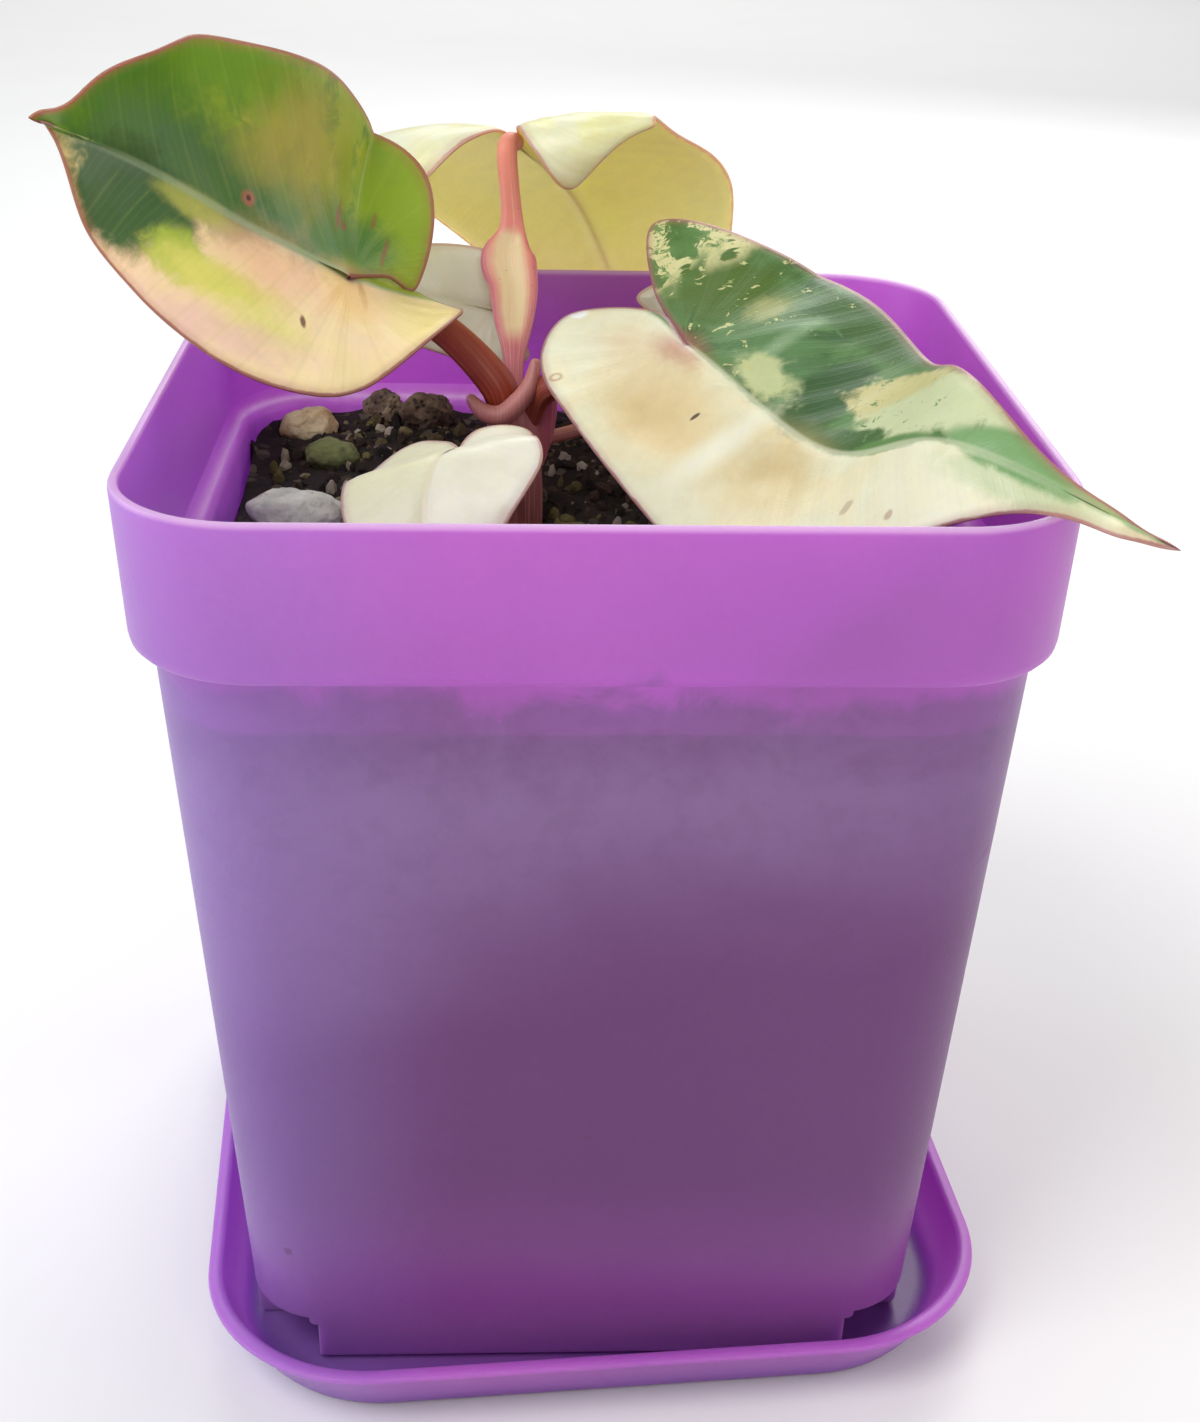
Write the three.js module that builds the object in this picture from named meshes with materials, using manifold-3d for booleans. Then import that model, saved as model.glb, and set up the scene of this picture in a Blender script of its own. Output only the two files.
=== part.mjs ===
// Potted variegated philodendron: six leaves on a short stem, in a square
// nursery pot that stands on a matching saucer. Millimetres, +Z up, the front
// faces -Y, and the origin is the centre of the saucer's flat underside.

import * as THREE from 'three';
import { mergeVertices } from 'three/addons/utils/BufferGeometryUtils.js';
import { ImprovedNoise } from 'three/addons/math/ImprovedNoise.js';
import Module from 'manifold-3d';

const wasm = await Module();
wasm.setup();

// Driving dimensions

const GAP = 0.3;
const WALL = 1.2;
const TIDY = 0.02;
const CORNER_STEPS = 6;

// A section is [half width, corner radius, height].
const POT = {
  floor: 2.3,
  floorThickness: 1.6,
  rimTop: 118,
  ledge: 100,
  rimHalf: 50,
  rimRadius: 15,
  bandHalf: 49.3,
  bandRadius: 14.5,
  bodyHalf: 46.8,
  bodyRadius: 11.8,
  footHalf: 41.5,
  footRadius: 9.5,
  notch: 8.5,
  notchHeight: 7,
  drainRadius: 3.5,
  drainSpacing: 22,
};

const SAUCER = {
  height: 9.3,
  floor: 2,
  rimHalf: 50,
  rimRadius: 21,
  footHalf: 44.5,
  footRadius: 18,
  turn: 4,
};

const SOIL = {
  front: 93.5,
  back: 98.2,
  lump: 1.5,
  cells: 20,
  grit: 44,
};

const BLADE_THICKNESS = 0.7;
const LOBE_ROWS = 8;
const BODY_ROWS = 12;
const ACROSS = 4;

// Where each half's widths are given, from the base to the tip, as shares of the spine.
const STATIONS = [0.15, 0.5, 0.8, 0.93];

// A leaf's spine runs from its petiole to its tip. side0 and side1 point to its
// right half at the base and at the tip. Each half has the length of its lobe as
// a share of the spine, its widths from the sinus round to the tip, and at the
// lobe, the base and the tip its fold in degrees and its curl in degrees per
// 20 mm. droop bends the lobe back, in degrees per millimetre.
const LEAVES = {
  left: {
    spine: [[-28.5, 8, 127], [-39, 0.5, 134.5], [-50.5, -4, 142.5], [-59.5, -12.5, 148.5]],
    side0: [-0.16, 0.87, 0.47],
    side1: [0.33, -0.11, 0.94],
    right: { lobe: 0.22, widths: [2.5, 4, 17.5, 22, 17.5, 12.5, 4], fold: [41, 11, 25], curl: [32, 20, 20], droop: 1.5 },
    left: { lobe: 0.33, widths: [-6.5, 4.5, 13, 21, 17.5, 10, 0.5], fold: [36, -2, 20], curl: [11, 3, 15], droop: -1.7 },
    colour: 0xa9a45a,
  },
  right: {
    spine: [[11.5, 0, 121.5], [25, -21.5, 116], [35.5, -38.5, 122.5], [55, -52.5, 117]],
    side0: [-0.88, -0.36, -0.32],
    side1: [-0.35, -0.68, -0.64],
    right: { lobe: 0.21, widths: [-1, 7, 15.5, 18.5, 18.5, 4, 1.5], fold: [-4, -2, -12], curl: [10, 7, 0], droop: 0.1 },
    left: { lobe: 0.31, widths: [3.5, 11, 16.5, 19.5, 12.5, 2.5, 0.6], fold: [12, 2, 4], curl: [12, 1, 9], droop: 0.4 },
    colour: 0xb9bd8d,
  },
  back: {
    spine: [[-8.5, 36, 138.5], [-0.5, 46, 129], [6, 55, 114.5], [15, 60.5, 95]],
    side0: [0.84, -0.35, 0.41],
    side1: [0.96, 0.12, 0.27],
    right: { lobe: 0.365, widths: [5.5, 9.1, 20.8, 19.7, 20.4, 13.5, 3.5], fold: [-15, 0, 21], curl: [-14, -27, -16], droop: 8.7 },
    left: { lobe: 0.16, widths: [3.5, 13, 20, 25, 16.5, 8.5, 3], fold: [20, 34, -4], curl: [-24, -26, -4], droop: 12 },
    colour: 0xd8cf8a,
  },
  front: {
    spine: [[-15, -18.5, 115], [-17.5, -23, 114.5], [-18.5, -29, 109.5], [-16.5, -34, 101.5]],
    side0: [-0.94, 0.19, -0.28],
    side1: [-0.98, -0.08, -0.17],
    right: { lobe: 0.26, widths: [3, 8, 10.5, 11, 9.5, 6, 2], fold: [2, -4, 4], curl: [-5, -7, 0], droop: 1 },
    left: { lobe: 0.45, widths: [-0.6, 2.7, 6.3, 10, 12.7, 7.2, 2.1], fold: [-36, 1, 12], curl: [8, -20, -4], droop: 0.9 },
    colour: 0xdcdcc0,
  },
  rear_left: {
    spine: [[-11.5, 25.5, 118.5], [-20, 26, 120], [-29, 26.5, 120.5], [-37, 26.5, 119]],
    side0: [0.1, 0.45, 0.88],
    side1: [-0.1, 0.4, 0.9],
    right: { lobe: 0.2, widths: [2, 5, 7, 7.5, 6, 3.5, 1.5], fold: [5, 5, 5], curl: [5, 5, 5], droop: 1 },
    left: { lobe: 0.2, widths: [2, 5, 7, 7.5, 6, 3.5, 1.5], fold: [5, 5, 5], curl: [5, 5, 5], droop: 1 },
    colour: 0xdcdcc0,
  },
  rear_right: {
    spine: [[11, 22, 117.5], [18, 24, 118], [25, 27, 115.5], [32, 30, 111.5]],
    side0: [-0.1, -0.45, -0.88],
    side1: [-0.1, -0.4, -0.9],
    right: { lobe: 0.2, widths: [2, 4.5, 6, 6.5, 5.5, 3.5, 1.5], fold: [5, 5, 5], curl: [5, 5, 5], droop: 1 },
    left: { lobe: 0.2, widths: [2, 4.5, 6, 6.5, 5.5, 3.5, 1.5], fold: [5, 5, 5], curl: [5, 5, 5], droop: 1 },
    colour: 0xdcdcc0,
  },
};

// A limb's path, with its half width and half depth at even steps along it. A
// petiole's path also gets a knee and an end under the base of its blade.
const KNEE_DROP = 3.5;
const KNEE_BACK = 3;
const END_DROP = 0.7;

const STEM = {
  path: [[-8.5, 12, 72], [-8.5, 12, 92], [-8.8, 11.5, 104], [-9.2, 11, 112]],
  width: [2.2, 3.3, 3.4, 3.2],
  depth: [2.2, 3.3, 3.4, 3.2],
  facing: [0, -1, 0],
};

const COLLAR = {
  path: [
    [-14.6, 10, 111.9], [-12.8, 8.4, 110.4], [-10.6, 7.6, 110.1],
    [-8.6, 7.9, 111.5], [-6.9, 8.8, 113.6], [-6.1, 10, 116.8],
  ],
  width: [0.6, 1.1, 1.3, 1.3, 1.1, 0.6],
  depth: [0.8, 1.3, 1.5, 1.5, 1.2, 0.7],
  facing: [0, -1, 0.4],
};

const SIDE_SHEATH = {
  path: [[-6.4, 11.5, 102], [-5.2, 11.2, 107], [-4.6, 11, 111], [-4.4, 11, 113.5]],
  width: [1.2, 1.4, 1.2, 0.5],
  depth: [1, 1.2, 1, 0.5],
  facing: [0, -1, 0.2],
};

const PETIOLES = {
  left: {
    path: [[-9.5, 12, 106.5], [-11, 11, 113], [-18, 13.5, 119.5], [-23.5, 13, 121]],
    width: [2.2, 2.3, 2, 1.8, 1.6, 1.2],
    depth: [2, 2.1, 1.9, 1.7, 1.4, 1],
    facing: [0, -0.6, 0.8],
    colour: 0xa8503a,
  },
  right: {
    path: [[-8, 11, 107.5], [-5.5, 9.5, 112.5], [-1, 7, 115], [6, 4, 117]],
    width: [1.8, 1.8, 1.6, 1.4, 1.3, 1],
    depth: [1.7, 1.7, 1.5, 1.3, 1.2, 0.9],
    facing: [0, -0.6, 0.8],
    colour: 0xb4573f,
  },
  back: {
    path: [
      [-9, 12, 109], [-8.9, 15, 114.5], [-8.9, 20, 119], [-9, 24, 122.3], [-9.7, 27, 125.2],
      [-9.2, 30, 129],
    ],
    width: [1.4, 1.3, 2.6, 3.2, 3.5, 1.5, 1.3, 1.2],
    depth: [1.3, 1.1, 1.1, 1.2, 1.2, 1.1, 1.2, 1.1],
    facing: [0, -0.9, 0.4],
    colour: 0xe0968a,
  },
  front: {
    path: [[-9, 9.5, 99], [-11, -4, 105]],
    width: [0.9, 0.9, 0.8, 0.7],
    depth: [0.9, 0.9, 0.8, 0.7],
    facing: [0, -0.6, 0.8],
    colour: 0xc98a74,
  },
  rear_left: {
    path: [[-9, 14, 104], [-9, 21, 111]],
    width: [0.9, 0.9, 0.8, 0.7],
    depth: [0.9, 0.9, 0.8, 0.7],
    facing: [0, -0.6, 0.8],
    colour: 0xc98a74,
  },
  rear_right: {
    path: [[-6.5, 12.5, 105], [2, 17, 107]],
    width: [0.9, 0.9, 0.8, 0.7],
    depth: [0.9, 0.9, 0.8, 0.7],
    facing: [0, -0.6, 0.8],
    colour: 0xc98a74,
  },
};

const STONES = {
  stone_white: { at: [-36.5, 8, 96.5], radii: [6, 4.2, 3.4], turn: 8, seed: 3, colour: 0xb4b7b4 },
  stone_tan: { at: [-37.5, 38, 98.4], radii: [4.2, 3.2, 2.6], turn: 20, seed: 7, colour: 0xa38b72 },
  stone_green: { at: [-33.5, 28.5, 97.2], radii: [3.8, 3, 2.4], turn: -15, seed: 11, colour: 0x78804c },
  pumice_left: { at: [-27.5, 43.2, 99.6], radii: [2.6, 2.3, 2.4], turn: 0, seed: 15, colour: 0x8c8378 },
  pumice_right: { at: [-21, 40.5, 99.8], radii: [3.6, 2.5, 2.8], turn: 10, seed: 19, colour: 0x857c70 },
};

// Finishes

const PLASTIC = { color: 0xa95fc0, roughness: 0.38, metalness: 0 };
const EARTH = { color: 0x2c2622, roughness: 1, metalness: 0 };
const BARK = { color: 0x9c5a4c, roughness: 0.6, metalness: 0 };

// Solids

// A copy of a geometry in which corners nearer than reach are one.
function welded(geometry, reach) {
  const bare = geometry.clone();
  bare.deleteAttribute('normal');
  bare.deleteAttribute('uv');
  const merged = mergeVertices(bare, reach);
  const corners = merged.index.array;
  const kept = [];
  for (let i = 0; i < corners.length; i += 3) {
    const [a, b, c] = corners.slice(i, i + 3);
    if (a !== b && b !== c && c !== a) {
      kept.push(a, b, c);
    }
  }
  merged.setIndex(kept);
  return merged;
}

// Turns a closed three.js geometry into a solid.
function solid(geometry) {
  const { attributes, index } = welded(geometry, 1e-4);
  return new wasm.Manifold(new wasm.Mesh({
    numProp: 3,
    vertProperties: new Float32Array(attributes.position.array),
    triVerts: new Uint32Array(index.array),
  }));
}

// The largest piece of a solid, so that a cut leaves no scraps.
function largest(body) {
  return body.decompose().sort((a, b) => b.volume() - a.volume())[0];
}

// Slivers shorter than TIDY that a cut leaves are merged away.
function toMesh(name, body, finish) {
  const { vertProperties, triVerts } = body.simplify(TIDY).getMesh();
  const raw = new THREE.BufferGeometry();
  raw.setAttribute('position', new THREE.BufferAttribute(vertProperties, 3));
  raw.setIndex(new THREE.BufferAttribute(triVerts, 1));
  const geometry = welded(welded(raw, TIDY), 0.7 * TIDY);
  geometry.computeVertexNormals();
  const mesh = new THREE.Mesh(geometry, new THREE.MeshStandardMaterial(finish));
  mesh.name = name;
  return mesh;
}

// Pot and saucer

// Outline of a square with round corners, counter-clockwise from the +X side.
function roundedSquare(half, radius) {
  const points = [];
  for (let corner = 0; corner < 4; corner += 1) {
    const start = corner * Math.PI / 2;
    const centre = new THREE.Vector2(half - radius, half - radius).rotateAround(new THREE.Vector2(), start);
    for (let step = 0; step <= CORNER_STEPS; step += 1) {
      const angle = start + step / CORNER_STEPS * Math.PI / 2;
      points.push([centre.x + radius * Math.cos(angle), centre.y + radius * Math.sin(angle)]);
    }
  }
  return points;
}

// A closed body through rounded-square sections, given from the bottom to the top
// of its outside and then, for a shell, down its inside.
function squareBody(sections) {
  const first = sections[0];
  const last = sections[sections.length - 1];
  const profile = [new THREE.Vector2(0, first[2])];
  sections.forEach(([half, , z]) => profile.push(new THREE.Vector2(half, z)));
  profile.push(new THREE.Vector2(0, last[2]));
  const columns = 4 * (CORNER_STEPS + 1);
  const geometry = new THREE.LatheGeometry(profile, columns);
  const position = geometry.attributes.position;
  const outlines = sections.map(([half, radius]) => roundedSquare(half, radius));
  for (let i = 0; i < position.count; i += 1) {
    const column = Math.floor(i / profile.length) % columns;
    const row = i % profile.length;
    const ring = outlines[row - 1] ?? null;
    const [x, y] = ring ? ring[column] : [0, 0];
    position.setXYZ(i, x, y, profile[row].y);
  }
  return solid(geometry);
}

function notches(grow) {
  const reach = 20;
  const size = POT.notch + reach;
  const centre = POT.footHalf - POT.notch - grow + size / 2;
  const height = POT.notchHeight + grow + 5;
  const block = new THREE.BoxGeometry(size, size, height);
  block.translate(centre, centre, POT.floor - 5 + height / 2);
  const one = solid(block);
  return one.add(one.rotate([0, 0, 90])).add(one.rotate([0, 0, 180])).add(one.rotate([0, 0, 270]));
}

function potSections(inset) {
  const { bodyHalf, bodyRadius, footHalf, footRadius, ledge } = POT;
  return [
    [footHalf - inset, footRadius - inset, POT.floor + (inset ? POT.floorThickness + inset - WALL : 0)],
    [bodyHalf - inset, bodyRadius - inset, ledge - (inset ? 1 : 0)],
  ];
}

function potBody() {
  const { bandHalf, bandRadius, rimHalf, rimRadius, ledge, rimTop } = POT;
  const outside = squareBody([
    ...potSections(0),
    [bandHalf - 1, bandRadius - 1, ledge + 0.5],
    [bandHalf - 0.2, bandRadius - 0.2, ledge + 1.5],
    [bandHalf, bandRadius, ledge + 3],
    [rimHalf - 0.1, rimRadius - 0.1, rimTop - 0.5],
    [rimHalf - 0.4, rimRadius - 0.4, rimTop],
  ]);
  const inside = squareBody([
    ...potSections(WALL),
    [bandHalf - WALL - 0.6, bandRadius - WALL - 0.6, ledge + 1],
    [bandHalf - WALL, bandRadius - WALL, ledge + 3],
    [rimHalf - WALL, rimRadius - WALL, rimTop + 0.1],
    [rimHalf - WALL, rimRadius - WALL, rimTop + 1],
  ]);
  let pot = outside.subtract(notches(0)).subtract(inside.subtract(notches(WALL)));
  for (const [x, y] of [[0, 0], [1, 0], [-1, 0], [0, 1], [0, -1]]) {
    const drain = new THREE.CylinderGeometry(POT.drainRadius, POT.drainRadius, 6, 16);
    drain.rotateX(Math.PI / 2);
    drain.translate(x * POT.drainSpacing, y * POT.drainSpacing, POT.floor + 1);
    pot = pot.subtract(solid(drain));
  }
  return pot;
}

function saucerBody() {
  const { height, floor, rimHalf, rimRadius, footHalf, footRadius } = SAUCER;
  const body = squareBody([
    [footHalf, footRadius, 0],
    [footHalf + 1.4, footRadius + 0.8, 1.2],
    [rimHalf - 0.7, rimRadius - 0.4, height - 0.8],
    [rimHalf, rimRadius, height - 0.4],
    [rimHalf, rimRadius, height],
    [rimHalf - 1.6, rimRadius - 1, height],
    [footHalf + 1.2, footRadius + 0.6, floor + 0.8],
    [footHalf + 0.4, footRadius, floor],
  ]);
  return body.rotate([0, 0, SAUCER.turn]);
}

// Soil and stones

const noise = new ImprovedNoise();

function soilHeight(x, y) {
  const slope = THREE.MathUtils.smoothstep(y, 0, 42);
  const lumps = noise.noise(x / 7, y / 7, 0.5) + 0.5 * noise.noise(x / 3, y / 3, 4.5);
  return THREE.MathUtils.lerp(SOIL.front, SOIL.back, slope) + SOIL.lump * lumps;
}

// The air above the soil, whose underside is the soil's lumpy surface.
function airBlock() {
  const size = 2 * POT.rimHalf;
  const geometry = new THREE.BoxGeometry(size, size, 60, SOIL.cells, SOIL.cells, 1);
  const position = geometry.attributes.position;
  for (let i = 0; i < position.count; i += 1) {
    const below = position.getZ(i) < 0;
    const z = below ? soilHeight(position.getX(i), position.getY(i)) : POT.rimTop + 20;
    position.setZ(i, z);
  }
  return solid(geometry);
}

// A rounded stone, with its surface pushed in and out by noise.
function stone([x, y, z], radii, turn, seed, detail, grow) {
  const geometry = new THREE.IcosahedronGeometry(1, detail);
  const position = geometry.attributes.position;
  const point = new THREE.Vector3();
  for (let i = 0; i < position.count; i += 1) {
    point.fromBufferAttribute(position, i).normalize();
    const push = 1 + 0.35 * noise.noise(1.3 * point.x + seed, 1.3 * point.y + seed, 1.3 * point.z);
    point.set(point.x * (radii[0] * push + grow), point.y * (radii[1] * push + grow), point.z * (radii[2] * push + grow));
    position.setXYZ(i, point.x, point.y, point.z);
  }
  geometry.rotateZ(THREE.MathUtils.degToRad(turn));
  geometry.translate(x, y, z);
  return solid(geometry);
}

function soilBody(stem) {
  const clear = WALL + GAP;
  const block = squareBody([...potSections(clear), [POT.bodyHalf - clear, POT.bodyRadius - clear, POT.ledge + 8]]);
  let soil = block.subtract(notches(clear)).subtract(airBlock());
  for (let i = 0; i < SOIL.grit; i += 1) {
    const pick = () => THREE.MathUtils.seededRandom();
    const x = (2 * pick() - 1) * 41;
    const y = (2 * pick() - 1) * 41;
    const size = 1 + 1.6 * pick();
    const centre = [x, y, soilHeight(x, y) + 0.1 * size];
    soil = soil.add(stone(centre, [size, 0.8 * size, 0.7 * size], 180 * pick(), i, 0, 0));
  }
  for (const { at, radii, turn, seed } of Object.values(STONES)) {
    soil = soil.subtract(stone(at, radii, turn, seed, 2, GAP));
  }
  return largest(soil.subtract(stem));
}

// Stem, petioles and blades

function curve(points) {
  return new THREE.CatmullRomCurve3(points.map((p) => new THREE.Vector3(...p)), false, 'catmullrom', 0.5);
}

function sampled(values, t) {
  return curve(values.map((v) => [v, 0, 0])).getPoint(t).x;
}

// A limb with an oval section that widens and narrows along its path.
function limb({ path, width, depth, facing }, grow = 0) {
  const steps = 3 * (path.length - 1);
  const sides = 10;
  const route = curve(path);
  const profile = [new THREE.Vector2(0, 0)];
  for (let step = 0; step <= steps; step += 1) {
    profile.push(new THREE.Vector2(1, step));
  }
  profile.push(new THREE.Vector2(0, steps));
  const geometry = new THREE.LatheGeometry(profile, sides);
  const position = geometry.attributes.position;
  for (let i = 0; i < position.count; i += 1) {
    const turn = -2 * Math.PI * Math.floor(i / profile.length) / sides;
    const ring = profile[i % profile.length];
    const t = ring.y / steps;
    const along = route.getTangent(t);
    const out = new THREE.Vector3(...facing).projectOnPlane(along).normalize();
    const across = along.clone().cross(out);
    const point = route.getPoint(t);
    const end = ring.y === 0 ? -grow : ring.y === steps ? grow : 0;
    point.addScaledVector(along, end);
    point.addScaledVector(out, ring.x * (sampled(depth, t) + grow) * Math.cos(turn));
    point.addScaledVector(across, -ring.x * (sampled(width, t) + grow) * Math.sin(turn));
    position.setXYZ(i, point.x, point.y, point.z);
  }
  return solid(geometry);
}

// The margin of one half, from the base round its lobe to the tip, as shares of
// the spine and widths.
function marginCurve({ lobe, widths }) {
  const shares = [-0.55 * lobe, -lobe, -0.45 * lobe, ...STATIONS];
  return curve([[0, 0, 0], ...shares.map((share, i) => [share, widths[i], 0]), [1, 0, 0]]);
}

function blended(values, share, lobe) {
  if (share < 0) {
    return THREE.MathUtils.lerp(values[1], values[0], Math.min(1, -share / lobe));
  }
  return THREE.MathUtils.lerp(values[1], values[2], share);
}

// The place of a point of the blade: share along the spine and distance out from
// it, on the right half (side 1) or the left one (side -1).
function bladePoint(leaf, route, side, share, distance) {
  const half = side > 0 ? leaf.right : leaf.left;
  const t = THREE.MathUtils.clamp(share, 0, 1);
  const along = route.getTangent(t);
  const across = new THREE.Vector3(...leaf.side0).normalize();
  across.lerp(new THREE.Vector3(...leaf.side1).normalize(), t).normalize();
  const up = across.clone().cross(along).normalize();
  const point = route.getPoint(t);
  const back = Math.min(share, 0) * leaf.length;
  const bend = THREE.MathUtils.degToRad(half.droop);
  const angle = bend * back;
  point.addScaledVector(along, Math.sin(angle) / bend);
  point.addScaledVector(up, -(1 - Math.cos(angle)) / bend);
  const lifted = up.multiplyScalar(Math.cos(angle)).addScaledVector(along, Math.sin(angle));
  const fold = THREE.MathUtils.degToRad(blended(half.fold, share, half.lobe));
  const curl = THREE.MathUtils.degToRad(blended(half.curl, share, half.lobe)) / 20 || 1e-5;
  point.addScaledVector(across, side * (Math.sin(fold + curl * distance) - Math.sin(fold)) / curl);
  point.addScaledVector(lifted, (Math.cos(fold) - Math.cos(fold + curl * distance)) / curl);
  return point;
}

// The petiole of a leaf, with a knee under the blade so that it meets the spine
// square to the blade's underside.
function petioleWithKnee(petiole, leaf) {
  const route = curve(leaf.spine);
  const base = route.getPoint(0);
  const along = route.getTangent(0);
  const up = new THREE.Vector3(...leaf.side0).cross(along).normalize();
  const knee = base.clone().addScaledVector(up, -KNEE_DROP).addScaledVector(along, -KNEE_BACK);
  const end = base.clone().addScaledVector(up, -END_DROP);
  return { ...petiole, path: [...petiole.path, knee.toArray(), end.toArray()] };
}

// Corners and triangles of one half, from its sinus edge and the spine out to its margin.
function halfSheet(leaf, route, side) {
  const margin = marginCurve(side > 0 ? leaf.right : leaf.left);
  const rows = LOBE_ROWS + BODY_ROWS;
  const corners = [];
  const faces = [];
  for (let row = 0; row <= rows; row += 1) {
    const lobe = Math.min(row / LOBE_ROWS, 1);
    const body = Math.max(row - LOBE_ROWS, 0) / BODY_ROWS;
    const inner = body > 0 ? new THREE.Vector3(body, 0, 0) : margin.getPoint((1 - lobe) * 2 / 8);
    const outer = margin.getPoint((2 + 1.8 * lobe + 4.2 * body) / 8);
    for (let column = 0; column <= ACROSS; column += 1) {
      const { x, y } = inner.clone().lerp(outer, column / ACROSS);
      corners.push(bladePoint(leaf, route, side, x, y));
    }
  }
  for (let row = 0; row < rows; row += 1) {
    for (let column = 0; column < ACROSS; column += 1) {
      const a = row * (ACROSS + 1) + column;
      const b = a + ACROSS + 1;
      const quad = [[a, a + 1, b + 1], [a, b + 1, b]];
      quad.forEach(([p, q, r]) => faces.push(side > 0 ? [p, q, r] : [p, r, q]));
    }
  }
  return { corners, faces };
}

// Gives a sheet its thickness: a top and a bottom with the same triangles, and
// walls round the open edges.
function thicken(sheet, thickness) {
  const index = sheet.index.array;
  const position = sheet.attributes.position;
  const normal = sheet.attributes.normal;
  const count = position.count;
  const vertices = [];
  for (const side of [1, -1]) {
    for (let i = 0; i < count; i += 1) {
      const point = new THREE.Vector3().fromBufferAttribute(position, i);
      const out = new THREE.Vector3().fromBufferAttribute(normal, i);
      vertices.push(...point.addScaledVector(out, side * thickness / 2).toArray());
    }
  }
  const faces = [];
  const edges = new Map();
  for (let i = 0; i < index.length; i += 3) {
    const [a, b, c] = index.slice(i, i + 3);
    faces.push(a, b, c, count + a, count + c, count + b);
    [[a, b], [b, c], [c, a]].forEach(([p, q]) => edges.set(`${p} ${q}`, [p, q]));
  }
  for (const [p, q] of edges.values()) {
    if (!edges.has(`${q} ${p}`)) {
      faces.push(p, count + p, q, q, count + p, count + q);
    }
  }
  const geometry = new THREE.BufferGeometry();
  geometry.setAttribute('position', new THREE.Float32BufferAttribute(vertices, 3));
  geometry.setIndex(faces);
  return geometry;
}

function bladeBody(leaf) {
  const route = curve(leaf.spine);
  leaf.length = route.getLength();
  const vertices = [];
  const indices = [];
  for (const side of [1, -1]) {
    const { corners, faces } = halfSheet(leaf, route, side);
    const first = vertices.length / 3;
    corners.forEach((corner) => vertices.push(...corner.toArray()));
    faces.forEach((face) => indices.push(...face.map((i) => i + first)));
  }
  const raw = new THREE.BufferGeometry();
  raw.setAttribute('position', new THREE.Float32BufferAttribute(vertices, 3));
  raw.setIndex(indices);
  const merged = welded(raw, 1e-3);
  merged.computeVertexNormals();
  return solid(thicken(merged, BLADE_THICKNESS));
}

// The plant, each piece cut clear of the one it grows from

const stem = limb(STEM).add(limb(COLLAR)).add(limb(SIDE_SHEATH));
const stemRoom = limb(STEM, GAP).add(limb(COLLAR, GAP)).add(limb(SIDE_SHEATH, GAP));
const group = new THREE.Group();

group.add(toMesh('saucer', saucerBody(), PLASTIC));
group.add(toMesh('pot', potBody(), PLASTIC));
THREE.MathUtils.seededRandom(8504);
group.add(toMesh('soil', soilBody(stemRoom), EARTH));
for (const [name, { at, radii, turn, seed, colour }] of Object.entries(STONES)) {
  const body = stone(at, radii, turn, seed, 2, 0);
  group.add(toMesh(name, body, { color: colour, roughness: 0.95, metalness: 0 }));
}
group.add(toMesh('stem', stem, BARK));

let taken = stemRoom;
for (const [name, plain] of Object.entries(PETIOLES)) {
  const petiole = petioleWithKnee(plain, LEAVES[name]);
  const body = largest(limb(petiole).subtract(taken));
  taken = taken.add(limb(petiole, GAP));
  group.add(toMesh(`petiole_${name}`, body, { color: petiole.colour, roughness: 0.5, metalness: 0 }));
}
for (const [name, leaf] of Object.entries(LEAVES)) {
  const body = largest(bladeBody(leaf).subtract(taken));
  group.add(toMesh(`blade_${name}`, body, { color: leaf.colour, roughness: 0.45, metalness: 0 }));
}

export default group;
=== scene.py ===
"""Young variegated aroid with six leaves in a square nursery pot on its saucer.

Metres, +Z up, the pot's front faces -Y. Sizes in the classes are in millimetres.
"""
import logging
import math
from collections.abc import Callable
from dataclasses import dataclass
from enum import Enum

import bmesh
import bpy
import numpy as np
from mathutils import Matrix, Vector, noise
from mathutils.bvhtree import BVHTree


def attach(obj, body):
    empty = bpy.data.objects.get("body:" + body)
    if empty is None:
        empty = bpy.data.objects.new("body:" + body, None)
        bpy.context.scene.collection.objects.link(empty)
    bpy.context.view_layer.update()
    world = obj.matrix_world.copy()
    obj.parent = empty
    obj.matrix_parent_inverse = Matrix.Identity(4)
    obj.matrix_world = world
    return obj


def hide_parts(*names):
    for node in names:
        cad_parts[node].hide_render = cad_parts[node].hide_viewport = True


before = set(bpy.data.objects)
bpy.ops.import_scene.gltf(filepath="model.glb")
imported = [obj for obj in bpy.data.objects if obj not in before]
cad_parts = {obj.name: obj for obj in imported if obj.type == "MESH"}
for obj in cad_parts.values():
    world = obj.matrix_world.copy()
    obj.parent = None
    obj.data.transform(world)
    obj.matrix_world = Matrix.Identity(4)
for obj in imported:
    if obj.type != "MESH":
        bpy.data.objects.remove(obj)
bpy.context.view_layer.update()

MM = 0.001
TURN = 6.2832  # radians in a full turn
NEAR = 1e-3  # step along a curve that gives its direction
VEIN_GAP = 4.6  # millimetres between side veins
LOG = logging.getLogger("plant")


class Slot(Enum):
    """Names of the finishes."""

    PLASTIC = "pot_plastic"
    MIX = "potting_mix"
    LIGHT_STONE = "stone_light"
    TAN_STONE = "stone_tan"
    GREEN_STONE = "stone_green"
    PUMICE = "pumice"
    STEM = "stem"
    RED_STALK = "petiole_red"
    PINK_STALK = "petiole_pink"
    GREEN_LEAF = "leaf_green"
    MARBLED_LEAF = "leaf_variegated"
    YELLOW_LEAF = "leaf_yellow"
    CREAM_LEAF = "leaf_cream"


class Half(Enum):
    """The two halves of a blade, by the sign of the distance from the midrib."""

    RIGHT = 1
    LEFT = -1


# Shader maths


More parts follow.
